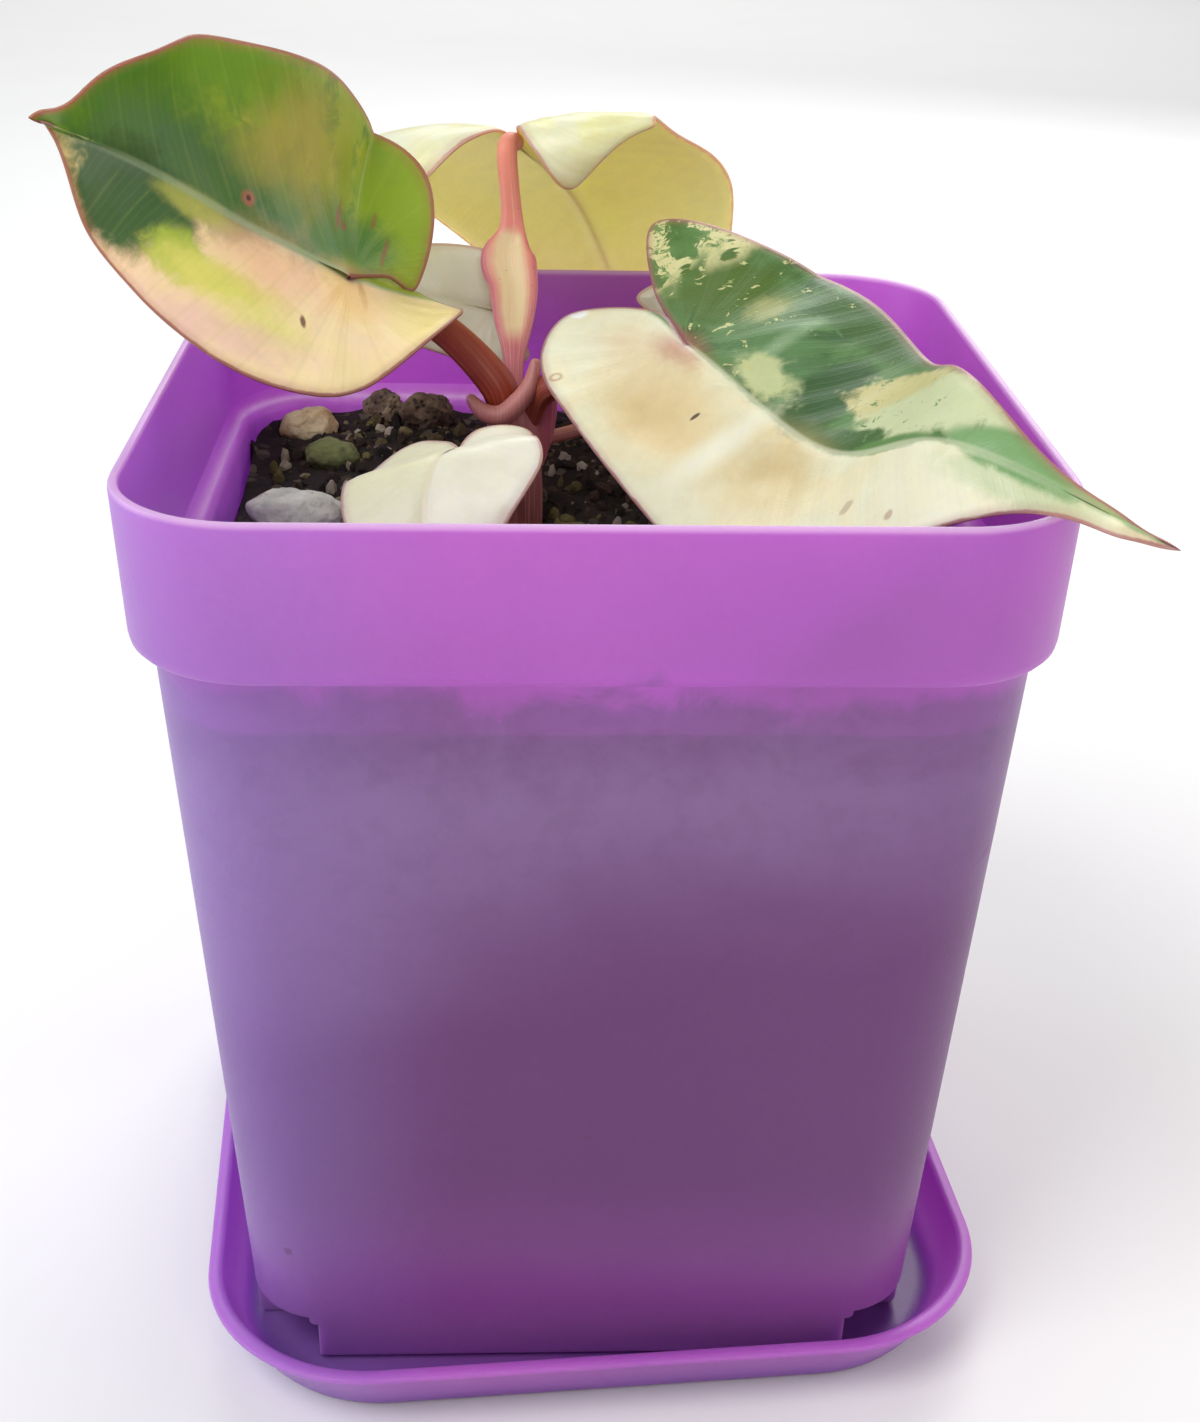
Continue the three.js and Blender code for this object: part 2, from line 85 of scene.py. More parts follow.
def tint(code: str) -> tuple[float, float, float, float]:
    """Turns a hex colour into linear red, green, blue and alpha.

    Args:
        code: Six hex digits.

    Returns:
        The linear colour.
    """
    parts = [int(code[i:i + 2], 16) / 255 for i in (0, 2, 4)]
    linear = [c / 12.92 if c <= 0.04045 else ((c + 0.055) / 1.055) ** 2.4 for c in parts]
    return (*linear, 1.0)


def new_node(tree: bpy.types.NodeTree, kind: str, sockets: dict, **settings: object) -> bpy.types.Node:
    """Adds a node to a tree.

    Args:
        tree: The tree.
        kind: The node's type.
        sockets: Values of its inputs, or the outputs that feed them, by name or number.
        **settings: Its settings.

    Returns:
        The node.
    """
    made = tree.nodes.new(kind)
    for key, value in settings.items():
        setattr(made, key, value)
    for key, value in sockets.items():
        if isinstance(value, bpy.types.NodeSocket):
            tree.links.new(value, made.inputs[key])
        else:
            made.inputs[key].default_value = value
    return made


def operator(operation: str, turned: bool = False) -> Callable:
    """Makes an operator that adds one Math node.

    Args:
        operation: The node's operation.
        turned: True where the other value comes first.

    Returns:
        The operator.
    """
    def apply(self: "Sock", other: object = 0.0) -> "Sock":
        """Returns the node's result."""
        first, second = (other, self) if turned else (self, other)
        return self.shader.node("ShaderNodeMath", {0: first, 1: second}, operation=operation)

    return apply


class Sock:
    """One value in a material, whose operators add Math nodes."""

    def __init__(self, shader: "Shader", socket: bpy.types.NodeSocket) -> None:
        """Keeps the material and the socket."""
        self.shader = shader
        self.socket = socket

    __add__, __radd__ = operator("ADD"), operator("ADD", True)
    __sub__, __rsub__ = operator("SUBTRACT"), operator("SUBTRACT", True)
    __mul__, __rmul__ = operator("MULTIPLY"), operator("MULTIPLY", True)
    __truediv__, __pow__ = operator("DIVIDE"), operator("POWER")
    __abs__, fraction, sine = operator("ABSOLUTE"), operator("FRACT"), operator("SINE")

    def step(self, low: float, high: float) -> "Sock":
        """A smooth step from 0 at low to 1 at high; low may be the larger one.

        Args:
            low: Where the step is 0.
            high: Where the step is 1.

        Returns:
            The step.
        """
        turned = low > high
        ends = {0: self, 1: min(low, high), 2: max(low, high), 3: float(turned), 4: float(not turned)}
        return self.shader.node("ShaderNodeMapRange", ends, interpolation_type="SMOOTHSTEP")


class Shader:
    """A material under construction."""

    def __init__(self, name: str, **uniform: object) -> None:
        """Makes the material with its Principled shader.

        Args:
            name: The material's name.
            **uniform: Values of the shader's own sockets, with _ for a space.
        """
        self.material = bpy.data.materials.new(name)
        self.material.use_nodes = True
        self.tree = self.material.node_tree
        self.surface = next(n for n in self.tree.nodes if n.type == "BSDF_PRINCIPLED")
        for key, value in uniform.items():
            self.surface.inputs[key.replace("_", " ")].default_value = value

    def node(self, kind: str, sockets: dict, output: object = 0, **settings: object) -> Sock:
        """Adds a node.

        Args:
            kind: The node's type.
            sockets: Values or Socks of its inputs, by name or number.
            output: Name or number of the output that is wanted.
            **settings: Its settings.

        Returns:
            That output.
        """
        sockets = {key: getattr(value, "socket", value) for key, value in sockets.items()}
        return Sock(self, new_node(self.tree, kind, sockets, **settings).outputs[output])

    def place(self) -> Sock:
        """Returns the object coordinates."""
        return self.node("ShaderNodeTexCoord", {}, "Object")

    def axes(self) -> tuple[Sock, ...]:
        """Returns the object coordinates one by one, in millimetres."""
        parts = self.node("ShaderNodeSeparateXYZ", {0: self.place()}).socket.node
        return tuple(Sock(self, part) * 1000 for part in parts.outputs)

    def value(self, name: str) -> Sock:
        """Returns a number that the mesh carries."""
        return self.node("ShaderNodeAttribute", {}, "Fac", attribute_name=name)

    def cloud(self, size: float, detail: float = 3.0, rough: float = 0.5, warp: float = 0.0,
              stretch: tuple[float, float, float] = (1.0, 1.0, 1.0)) -> Sock:
        """Noise from 0 to 1 over the object's own place.

        Args:
            size: Size of its features in millimetres.
            detail: Number of finer layers.
            rough: Strength of the finer layers.
            warp: Distortion.
            stretch: Factor on each axis before the noise is read.

        Returns:
            The noise.
        """
        where = self.node("ShaderNodeMapping", {0: self.place(), 3: stretch})
        return self.node("ShaderNodeTexNoise", {
            "Vector": where, "Scale": 1 / (size * MM), "Detail": detail,
            "Roughness": rough, "Distortion": warp})

    def cells(self, size: float, output: str = "Distance") -> Sock:
        """Voronoi cells of a size in millimetres.

        Args:
            size: Size of a cell.
            output: Which output to give.

        Returns:
            The chosen output.
        """
        sockets = {"Vector": self.place(), "Scale": 1 / (size * MM)}
        return self.node("ShaderNodeTexVoronoi", sockets, output)

    def ramp(self, value: Sock, stops: tuple[tuple[float, str], ...]) -> Sock:
        """Turns a number into a colour.

        Args:
            value: The number.
            stops: Places and hex codes.

        Returns:
            The colour.
        """
        colour = self.node("ShaderNodeValToRGB", {0: value})
        elements = colour.socket.node.color_ramp.elements
        while len(elements) < len(stops):
            elements.new(0.5)
        for element, (place, code) in zip(elements, stops):
            element.position, element.color = place, tint(code)
        return colour

    def mix(self, share: object, first: object, second: object) -> Sock:
        """Mixes two colours, which may be hex codes.

        Args:
            share: How much of the second colour.
            first: The first colour.
            second: The second colour.

        Returns:
            The mixed colour.
        """
        first, second = (tint(c) if isinstance(c, str) else c for c in (first, second))
        return self.node("ShaderNodeMix", {0: share, 6: first, 7: second}, 2, data_type="RGBA")

    def shade(self, colour: Sock, value: Sock) -> Sock:
        """Makes a colour lighter or darker.

        Args:
            colour: The colour.
            value: Factor on its brightness.

        Returns:
            The changed colour.
        """
        return self.node("ShaderNodeHueSaturation", {"Color": colour, "Value": value})

    def relief(self, height: Sock, depth: float, strength: float) -> None:
        """Feeds a bump to the shader.

        Args:
            height: The height from 0 to 1.
            depth: What a height of 1 means, in millimetres.
            strength: Strength of the bump.
        """
        values = {"Height": height, "Distance": depth * MM, "Strength": strength}
        self.feed("Normal", self.node("ShaderNodeBump", values))

    def feed(self, socket: str, value: Sock) -> None:
        """Links a value to one of the shader's own sockets."""
        self.tree.links.new(value.socket, self.surface.inputs[socket])


# Finishes


@dataclass(frozen=True)
class PlasticFinish:
    """Thin violet plastic through which the potting mix shows as a darker tone, with painted light and shade
    on it: a window reflection, a rim highlight, a lighter foot, cool light on the left and a darker saucer
    bottom.
    """

    clear: str = "a65cb3"
    second: str = "9a53a9"
    # lip: painted highlight along the rim's top edge
    lip: str = "d3a9dd"
    # haze: painted window reflection, lighter over the upper wall
    painted_reflection: str = "866699"
    deep: str = "5f2e68"
    wet: str = "6c3f78"
    # foot and glow: painted light, lighter tones towards the pot's foot
    foot: str = "9a52a6"
    painted_foot_glow: str = "c07ad2"
    # low: painted shade, the saucer darker towards its bottom
    low: str = "5a3488"
    speck: str = "5d3560"
    # cool: painted cool light on the left side
    painted_cool_light: str = "9478c8"
    soil_line: float = 98.6

    def build(self, filled: bool) -> bpy.types.Material:
        """Makes the material.

        Args:
            filled: True where there is potting mix behind the wall.

        Returns:
            The material.
        """
        s = Shader("violet_plastic_filled" if filled else "violet_plastic", Specular_IOR_Level=0.5,
                   Subsurface_Weight=0.6, Subsurface_Radius=(0.008, 0.004, 0.009), Subsurface_Scale=1.0)
        x, y, z = s.axes()
        colour = s.mix(s.cloud(38, 3, 0.5, 0.4).step(0.3, 0.75), self.clear, self.second)
        if filled:
            patch = s.cloud(13, 4, 0.62, 0.9)
            behind = (self.soil_line + 13 * (patch - 0.5) - z).step(-1.6, 2.2)
            # Painted window reflection: the haze tone over the upper wall, its lower edge sloping down to the
            # left; damp is only noise that wobbles that edge.
            damp = s.cloud(46, 2, 0.5, 0.6, (1, 1, 1.5))
            reflection_share = (z - x * 0.22 + 30 * (damp - 0.5)).step(56, 88)
            body = s.mix(reflection_share, self.deep, self.painted_reflection)
            body = s.mix((z + 16 * (patch - 0.5)).step(84, 95) * 0.6, body, self.wet)
            # Painted light: the wall made lighter towards its foot.
            body = s.mix(z.step(36, 3) * 0.65, body, self.foot)
            body = s.mix(z.step(12, 3) * 0.55, body, self.painted_foot_glow)
            body = s.shade(body, 1.03 - 0.1 * s.cloud(3.2, 3, 0.6).step(0.44, 0.66) * reflection_share)
            colour = s.mix(behind * 0.9, colour, body)
        else:
            # Painted shade: the saucer's wall darker towards its bottom.
            colour = s.mix(z.step(7.8, 1.5) * 0.6, colour, self.low)
        # Painted cool light on the left side of the pot and saucer.
        colour = s.mix((x * -1 - 0.25 * y).step(24, 52) * 0.42, colour, self.painted_cool_light)
        grain = s.cloud(0.9, 2, 0.6)
        scuff = s.cloud(9, 6, 0.7, 1.5, (0.35, 0.35, 2.2)).step(0.6, 0.74)
        colour = s.shade(colour, 0.97 + 0.05 * grain + 0.03 * scuff)
        if filled:
            # Painted highlight along the rim's top edge.
            colour = s.mix(z.step(117.2, 117.9) * 0.75, colour, self.lip)
            specks = s.cells(17).step(0.045, 0.02) * s.cloud(30, 1).step(0.5, 0.62)
            colour = s.mix(specks * 0.55, colour, self.speck)
        s.feed("Base Color", colour)
        s.feed("Roughness", 0.36 + 0.1 * scuff + 0.08 * grain)
        s.relief(s.cloud(0.5, 2, 0.5) + 2.5 * s.cloud(30, 1), 0.05, 0.55)
        return s.material


@dataclass(frozen=True)
class EarthFinish:
    """Dark damp potting mix of bark, peat and pumice grit."""

    dark: str = "151210"
    mid: str = "2c221c"
    pale: str = "786c5c"
    chips: tuple[tuple[float, str], ...] = ((0.0, "171311"), (0.42, "2b211b"), (0.66, "4f3d30"),
                                            (0.8, "6a6236"), (0.9, "8c7f6d"), (1.0, "b3a899"))

    def build(self, loose: bool) -> bpy.types.Material:
        """Makes the material.

        Args:
            loose: True for the loose bits, which each have a tone of their own.

        Returns:
            The material.
        """
        s = Shader("potting_chips" if loose else "potting_mix_fine", Specular_IOR_Level=0.35)
        rough = s.cloud(1.6, 6, 0.7, 0.6)
        if loose:
            colour = s.shade(s.ramp(s.value("tone"), self.chips), 0.6 + 0.8 * rough)
        else:
            colour = s.mix(rough.step(0.3, 0.7), self.dark, self.mid)
            pick = s.node("ShaderNodeSeparateColor", {0: s.cells(1.3, "Color")})
            colour = s.mix(pick.step(0.86, 0.95) * 0.6, colour, self.pale)
        s.feed("Base Color", colour)
        s.feed("Roughness", 0.72 + 0.25 * rough)
        s.relief(rough + 0.5 * s.cells(2.2), 0.7, 0.9)
        return s.material


@dataclass(frozen=True)
class StoneFinish:
    """A loose stone or a lump of pumice."""

    name: str
    main: str
    second: str
    stain: str
    pitted: float = 0.0
    pit: str = "2a2422"

    def build(self) -> bpy.types.Material:
        """Makes the material.

        Returns:
            The material.
        """
        s = Shader(self.name, Specular_IOR_Level=0.4)
        colour = s.mix(s.cloud(4.5, 5, 0.6, 0.7).step(0.35, 0.65), self.main, self.second)
        dirt = s.cloud(2.2, 6, 0.72, 0.4)
        colour = s.mix(dirt.step(0.55, 0.72) * 0.7, colour, self.stain)
        pits = s.cells(0.9).step(0.42, 0.15)
        s.feed("Base Color", s.mix(pits * self.pitted, colour, self.pit))
        s.feed("Roughness", 0.7 + 0.25 * dirt)
        s.relief(dirt - self.pitted * pits, 0.25, 0.8)
        return s.material


@dataclass(frozen=True)
class StalkFinish:
    """Skin of a stem or a petiole, streaked along its length."""

    name: str
    low: str
    high: str
    streak: str
    sheath: str = ""
    wing: str = "c75a74"
    dot: str = "6e2c20"

    def build(self) -> bpy.types.Material:
        """Makes the material.

        Returns:
            The material.
        """
        s = Shader(self.name, Specular_IOR_Level=0.5, Coat_Weight=0.18, Coat_Roughness=0.35,
                   Subsurface_Weight=0.1, Subsurface_Radius=(0.003, 0.001, 0.0006), Subsurface_Scale=0.5)
        length, turn = s.value("length"), s.value("turn")
        wash = s.cloud(3.4, 4, 0.55, 0.3)
        colour = s.mix((length + 0.5 * (wash - 0.5)).step(0.1, 0.9), self.low, self.high)
        if self.sheath:
            wide = s.value("wide")
            inner = (abs(turn) + 0.3 * (wash - 0.5)).step(0.8, 0.35)
            colour = s.mix(wide.step(0.1, 0.5) * (0.15 + 0.85 * inner), colour, self.sheath)
            wing = abs(turn).step(0.72, 0.95) * wide.step(0.15, 0.5)
            colour = s.mix(wing * 0.75, colour, self.wing)
        where = s.node("ShaderNodeCombineXYZ", {0: turn * 16, 1: length * 2.2})
        lines = s.node("ShaderNodeTexNoise", {"Vector": where, "Scale": 1.0, "Detail": 3.0},
                       noise_dimensions="2D")
        colour = s.mix(lines.step(0.52, 0.7) * 0.55, colour, self.streak)
        colour = s.mix(s.cells(1.7).step(0.13, 0.05) * 0.25, colour, self.dot)
        s.feed("Base Color", colour)
        s.feed("Roughness", 0.4 + 0.2 * wash)
        s.relief(lines + 0.3 * wash, 0.12, 0.6)
        return s.material


@dataclass(frozen=True)
class Patch:
    """A patch of another tone, an oval in share of the midrib and millimetres from it."""

    share: float
    reach: float
    long: float
    wide: float
    colour: str
    ragged: float = 0.6
    soft: float = 0.18
    strength: float = 1.0


@dataclass(frozen=True)
class Marble:
    """Marbling of one half by noise."""

    half: Half
    colour: str
    size: float
    low: float
    high: float
    first: float = -2.0
    last: float = 2.0


@dataclass(frozen=True)
class LeafFinish:
    """Skin of a blade: the tone of each half, its patches, marbling, veins and edge."""

    name: str
    right: str
    left: str
    right_second: str
    left_second: str
    under: str
    vein: str
    edge: str
    midrib: str
    patches: tuple[Patch, ...] = ()
    marbles: tuple[Marble, ...] = ()
    flecks: tuple[Marble, ...] = ()
    edge_width: float = 0.55
    vein_share: float = 0.25
    ragged: float = 1.2
    clear: float = 0.25
    under_share: float = 0.45

    def build(self) -> bpy.types.Material:
        """Makes the material.

        Returns:
            The material.
        """
        s = Shader(self.name, Specular_IOR_Level=0.5, Coat_Weight=0.15, Coat_Roughness=0.3,
                   Subsurface_Weight=self.clear, Subsurface_Radius=(0.004, 0.003, 0.001),
                   Subsurface_Scale=0.8)
        share, reach, vein, edge, upper = (s.value(k) for k in ("share", "reach", "vein", "edge", "upper"))
        fine, broad = s.cloud(2.4, 5, 0.62, 0.5), s.cloud(11, 4, 0.55, 0.8)
        wash = broad.step(0.36, 0.64)
        right = s.mix(wash, self.right, self.right_second)
        left = s.mix(wash, self.left, self.left_second)
        wander = reach + self.ragged * (fine - 0.5) + self.ragged * (broad - 0.5)
        colour = s.mix(wander.step(-0.3, 0.3), left, right)
        waves = 0.06 * (vein / VEIN_GAP * TURN).sine()
        spread = share + 0.25 * (broad - 0.5)

        def marbled(colour: Sock, m: Marble) -> Sock:
            """Lays one marbling over the colour.

            Args:
                colour: The colour so far.
                m: The marbling.

            Returns:
                The new colour.
            """
            span = spread.step(m.first - 0.03, m.first + 0.03) * spread.step(m.last + 0.03, m.last - 0.03)
            veined = (s.cloud(m.size, 6, 0.64, 1.2) + waves).step(m.low, m.high)
            return s.mix(veined * (reach * m.half.value).step(0.1, 0.9) * span, colour, m.colour)

        for m in self.marbles:
            colour = marbled(colour, m)
        for p in self.patches:
            along, out = (share - p.share) / p.long, (reach - p.reach) / p.wide
            apart = (along * along + out * out) ** 0.5 + p.ragged * (fine - 0.5) + p.ragged * (broad - 0.5)
            colour = s.mix(apart.step(1 + p.soft, 1 - p.soft) * p.strength, colour, p.colour)
        for m in self.flecks:
            colour = marbled(colour, m)
        main = abs((vein / VEIN_GAP).fraction() - 0.5).step(0.07, 0.0) * abs(reach).step(0.2, 3.0)
        twigs = abs((vein / (VEIN_GAP / 4) + 0.6 * fine).fraction() - 0.5).step(0.22, 0.0)
        colour = s.mix((main * 0.8 + twigs * 0.35) * self.vein_share, colour, self.vein)
        rib = abs(reach).step(0.75, 0.25) * share.step(1.0, 0.5)
        colour = s.mix(rib * 0.55, colour, self.midrib)
        colour = s.mix(upper.step(0.7, 0.3), colour, s.mix(self.under_share, colour, self.under))
        colour = s.shade(colour, 0.93 + 0.14 * fine)
        rim = (edge + 0.35 * (fine - 0.5)).step(self.edge_width * 1.5, self.edge_width * 0.6)
        flush = (edge + 1.4 * (broad - 0.5)).step(self.edge_width * 4.5, self.edge_width)
        colour = s.mix(rim * 0.9, s.mix(flush * 0.3, colour, self.edge), self.edge)
        s.feed("Base Color", colour)
        s.feed("Roughness", 0.34 + 0.16 * fine)
        s.relief(fine * 0.6 + twigs * 0.25 + s.cells(0.35) * 0.3, 0.07, 0.6)
        return s.material


# Mesh helpers


def catmull(points: np.ndarray, at: np.ndarray) -> np.ndarray:
    """Points of a uniform Catmull-Rom curve whose ends are mirrored.

    Args:
        points: Its control points.
        at: Places along it, 1 for each control point.

    Returns:
        One point for each place.
    """
    points = np.asarray(points, float)
    at = np.clip(np.atleast_1d(np.asarray(at, float)), 0, len(points) - 1)
    first = np.minimum(at.astype(int), len(points) - 2)
    t = (at - first)[:, None]
    ends = np.vstack([2 * points[0] - points[1], points, 2 * points[-1] - points[-2]])
    a, b, c, d = ends[first], ends[first + 1], ends[first + 2], ends[first + 3]
    bend, swing = 2 * a - 5 * b + 4 * c - d, 3 * b - a - 3 * c + d
    return 0.5 * (2 * b + (c - a) * t + bend * t ** 2 + swing * t ** 3)


def unit(vectors: np.ndarray) -> np.ndarray:
    """Returns the vectors with length 1."""
    return vectors / np.maximum(np.linalg.norm(vectors, axis=-1, keepdims=True), 1e-9)


def smooth(values: np.ndarray, low: float, high: float) -> np.ndarray:
    """A smooth step of an array.

    Args:
        values: The array.
        low: Where the step is 0.
        high: Where the step is 1.

    Returns:
        The step.
    """
    t = np.clip((values - low) / (high - low), 0, 1)
    return t * t * (3 - 2 * t)


def shown(made: bpy.types.Object) -> bpy.types.Object:
    """Links an object to the scene and returns it."""
    bpy.context.scene.collection.objects.link(made)
    return made


def linked(name: str, form: bmesh.types.BMesh, mesh: bpy.types.Mesh | None = None) -> bpy.types.Object:
    """Makes an object in the scene from a bmesh, which is then freed.

    Args:
        name: Name of the object.
        form: The bmesh.
        mesh: The mesh that takes its form, or None for a new one.

    Returns:
        The object, at the origin.
    """
    if mesh is None:
        mesh = bpy.data.meshes.new(name)
    form.to_mesh(mesh)
    form.free()
    return shown(bpy.data.objects.new(name, mesh))


def make_object(name: str, corners: np.ndarray, faces: list, values: dict | None = None,
                merge: float = 0.02) -> bpy.types.Object:
    """Makes a mesh object from corners in millimetres, merged and facing outward.

    Args:
        name: Its name.
        corners: Its corners.
        faces: Its faces as lists of corner numbers.
        values: Numbers that each corner carries, by name.
        merge: Distance in millimetres within which corners become one.

    Returns:
        The object, at the origin.
    """
    mesh = bpy.data.meshes.new(name)
    mesh.from_pydata((np.asarray(corners, float) * MM).tolist(), [], faces)
    for key, numbers in (values or {}).items():
        layer = mesh.attributes.new(key, "FLOAT", "POINT")
        layer.data.foreach_set("value", np.asarray(numbers, np.float32))
    form = bmesh.new()
    form.from_mesh(mesh)
    bmesh.ops.remove_doubles(form, verts=form.verts, dist=merge * MM)
    bmesh.ops.dissolve_degenerate(form, edges=form.edges, dist=1e-6)
    bmesh.ops.recalc_face_normals(form, faces=form.faces)
    return linked(name, form, mesh)


def bands(rows: int, count: int) -> list[list[int]]:
    """Quads between closed rings of corners that follow each other.

    Args:
        rows: Number of bands between the rings.
        count: Corners in a ring.

    Returns:
        The quads.
    """
    quads = []
    for start in range(0, rows * count, count):
        for i in range(count):
            j = (i + 1) % count
            quads.append([start + i, start + j, start + count + j, start + count + i])
    return quads


def drum(name: str, at: tuple[float, float, float], radius: float, depth: float,
         segments: int) -> bpy.types.Object:
    """Makes an upright cylinder, measured in millimetres.

    Args:
        name: Its name.
        at: Its middle.
        radius: Its radius.
        depth: Its height.
        segments: Its number of sides.

    Returns:
        The cylinder.
    """
    form = bmesh.new()
    bmesh.ops.create_cone(form, cap_ends=True, segments=segments, radius1=radius * MM, radius2=radius * MM,
                          depth=depth * MM, matrix=Matrix.Translation(Vector(at) * MM))
    return linked(name, form)


def applied(piece: bpy.types.Object) -> bpy.types.Object:
    """Turns a piece's modifiers into its plain mesh.

    Args:
        piece: The piece.

    Returns:
        The same piece without modifiers.
    """
    bpy.context.view_layer.update()
    graph = bpy.context.evaluated_depsgraph_get()
    mesh = bpy.data.meshes.new_from_object(piece.evaluated_get(graph))
    piece.modifiers.clear()
    piece.data = mesh
    return piece


def cut(piece: bpy.types.Object, cutter: bpy.types.Object) -> bpy.types.Object:
    """Cuts one piece out of another and removes the cutter.

    Args:
        piece: The piece that stays.
        cutter: The piece that is taken away.

    Returns:
        The cut piece.
    """
    step = piece.modifiers.new("cut", "BOOLEAN")
    step.operation = "DIFFERENCE"
    step.solver = "EXACT"
    step.object = cutter
    applied(piece)
    bpy.data.objects.remove(cutter)
    return piece


def shaded(piece: bpy.types.Object, angle: float = 180.0) -> bpy.types.Object:
    """Shades a piece smooth, with sharp edges above an angle in degrees.

    Args:
        piece: The piece.
        angle: The angle.

    Returns:
        The same piece.
    """
    piece.data.shade_smooth()
    if angle < 180:
        piece.data.set_sharp_from_angle(angle=math.radians(angle))
    return piece


def handed(piece: bpy.types.Object, node: str, material: bpy.types.Material) -> None:
    """Dresses a piece and puts it in the place of a CAD node.

    Args:
        piece: The piece.
        node: The CAD node.
        material: Its material.
    """
    piece.data.materials.clear()
    piece.data.materials.append(material)
    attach(piece, "root")
    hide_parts(node)
    LOG.info("%s stands for %s with %d faces", piece.name, node, len(piece.data.polygons))


def cad_copy(name: str, node: str) -> bpy.types.Object:
    """A merged copy of a CAD node.

    Args:
        name: Name of the copy.
        node: The CAD node.

    Returns:
        The copy.
    """
    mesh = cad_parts[node].data.copy()
    mesh.name = name
    form = bmesh.new()
    form.from_mesh(mesh)
    bmesh.ops.remove_doubles(form, verts=form.verts, dist=0.01 * MM)
    return linked(name, form, mesh)


# Pot and saucer


def rounded_square(half: float, radius: float, steps: int) -> np.ndarray:
    """Outline of a square with round corners, counter-clockwise.

    Args:
        half: Half its width.
        radius: Its corner radius.
        steps: Steps in a corner.

    Returns:
        Its points.
    """
    points = []
    for corner in range(4):
        start = corner * math.pi / 2
        middle = np.array([half - radius, half - radius])
        turn = np.array([[math.cos(start), -math.sin(start)], [math.sin(start), math.cos(start)]])
        middle = turn @ middle
        for step in range(steps + 1):
            angle = start + step / steps * math.pi / 2
            points.append(middle + radius * np.array([math.cos(angle), math.sin(angle)]))
    return np.array(points)


def square_body(name: str, sections: list[tuple[float, float, float]], steps: int = 16) -> bpy.types.Object:
    """A closed body through rounded-square sections.

    Args:
        name: Its name.
        sections: Half width, corner radius and height of each section, in order round its wall.
        steps: Steps in a corner.

    Returns:
        The body.
    """
    rings = [np.c_[rounded_square(h, r, steps), np.full(4 * (steps + 1), z)] for h, r, z in sections]
    count = len(rings[0])
    last = (len(rings) - 1) * count
    faces = bands(len(rings) - 1, count) + [list(range(count))[::-1], list(range(last, last + count))]
    return make_object(name, np.vstack(rings), faces, merge=0.001)


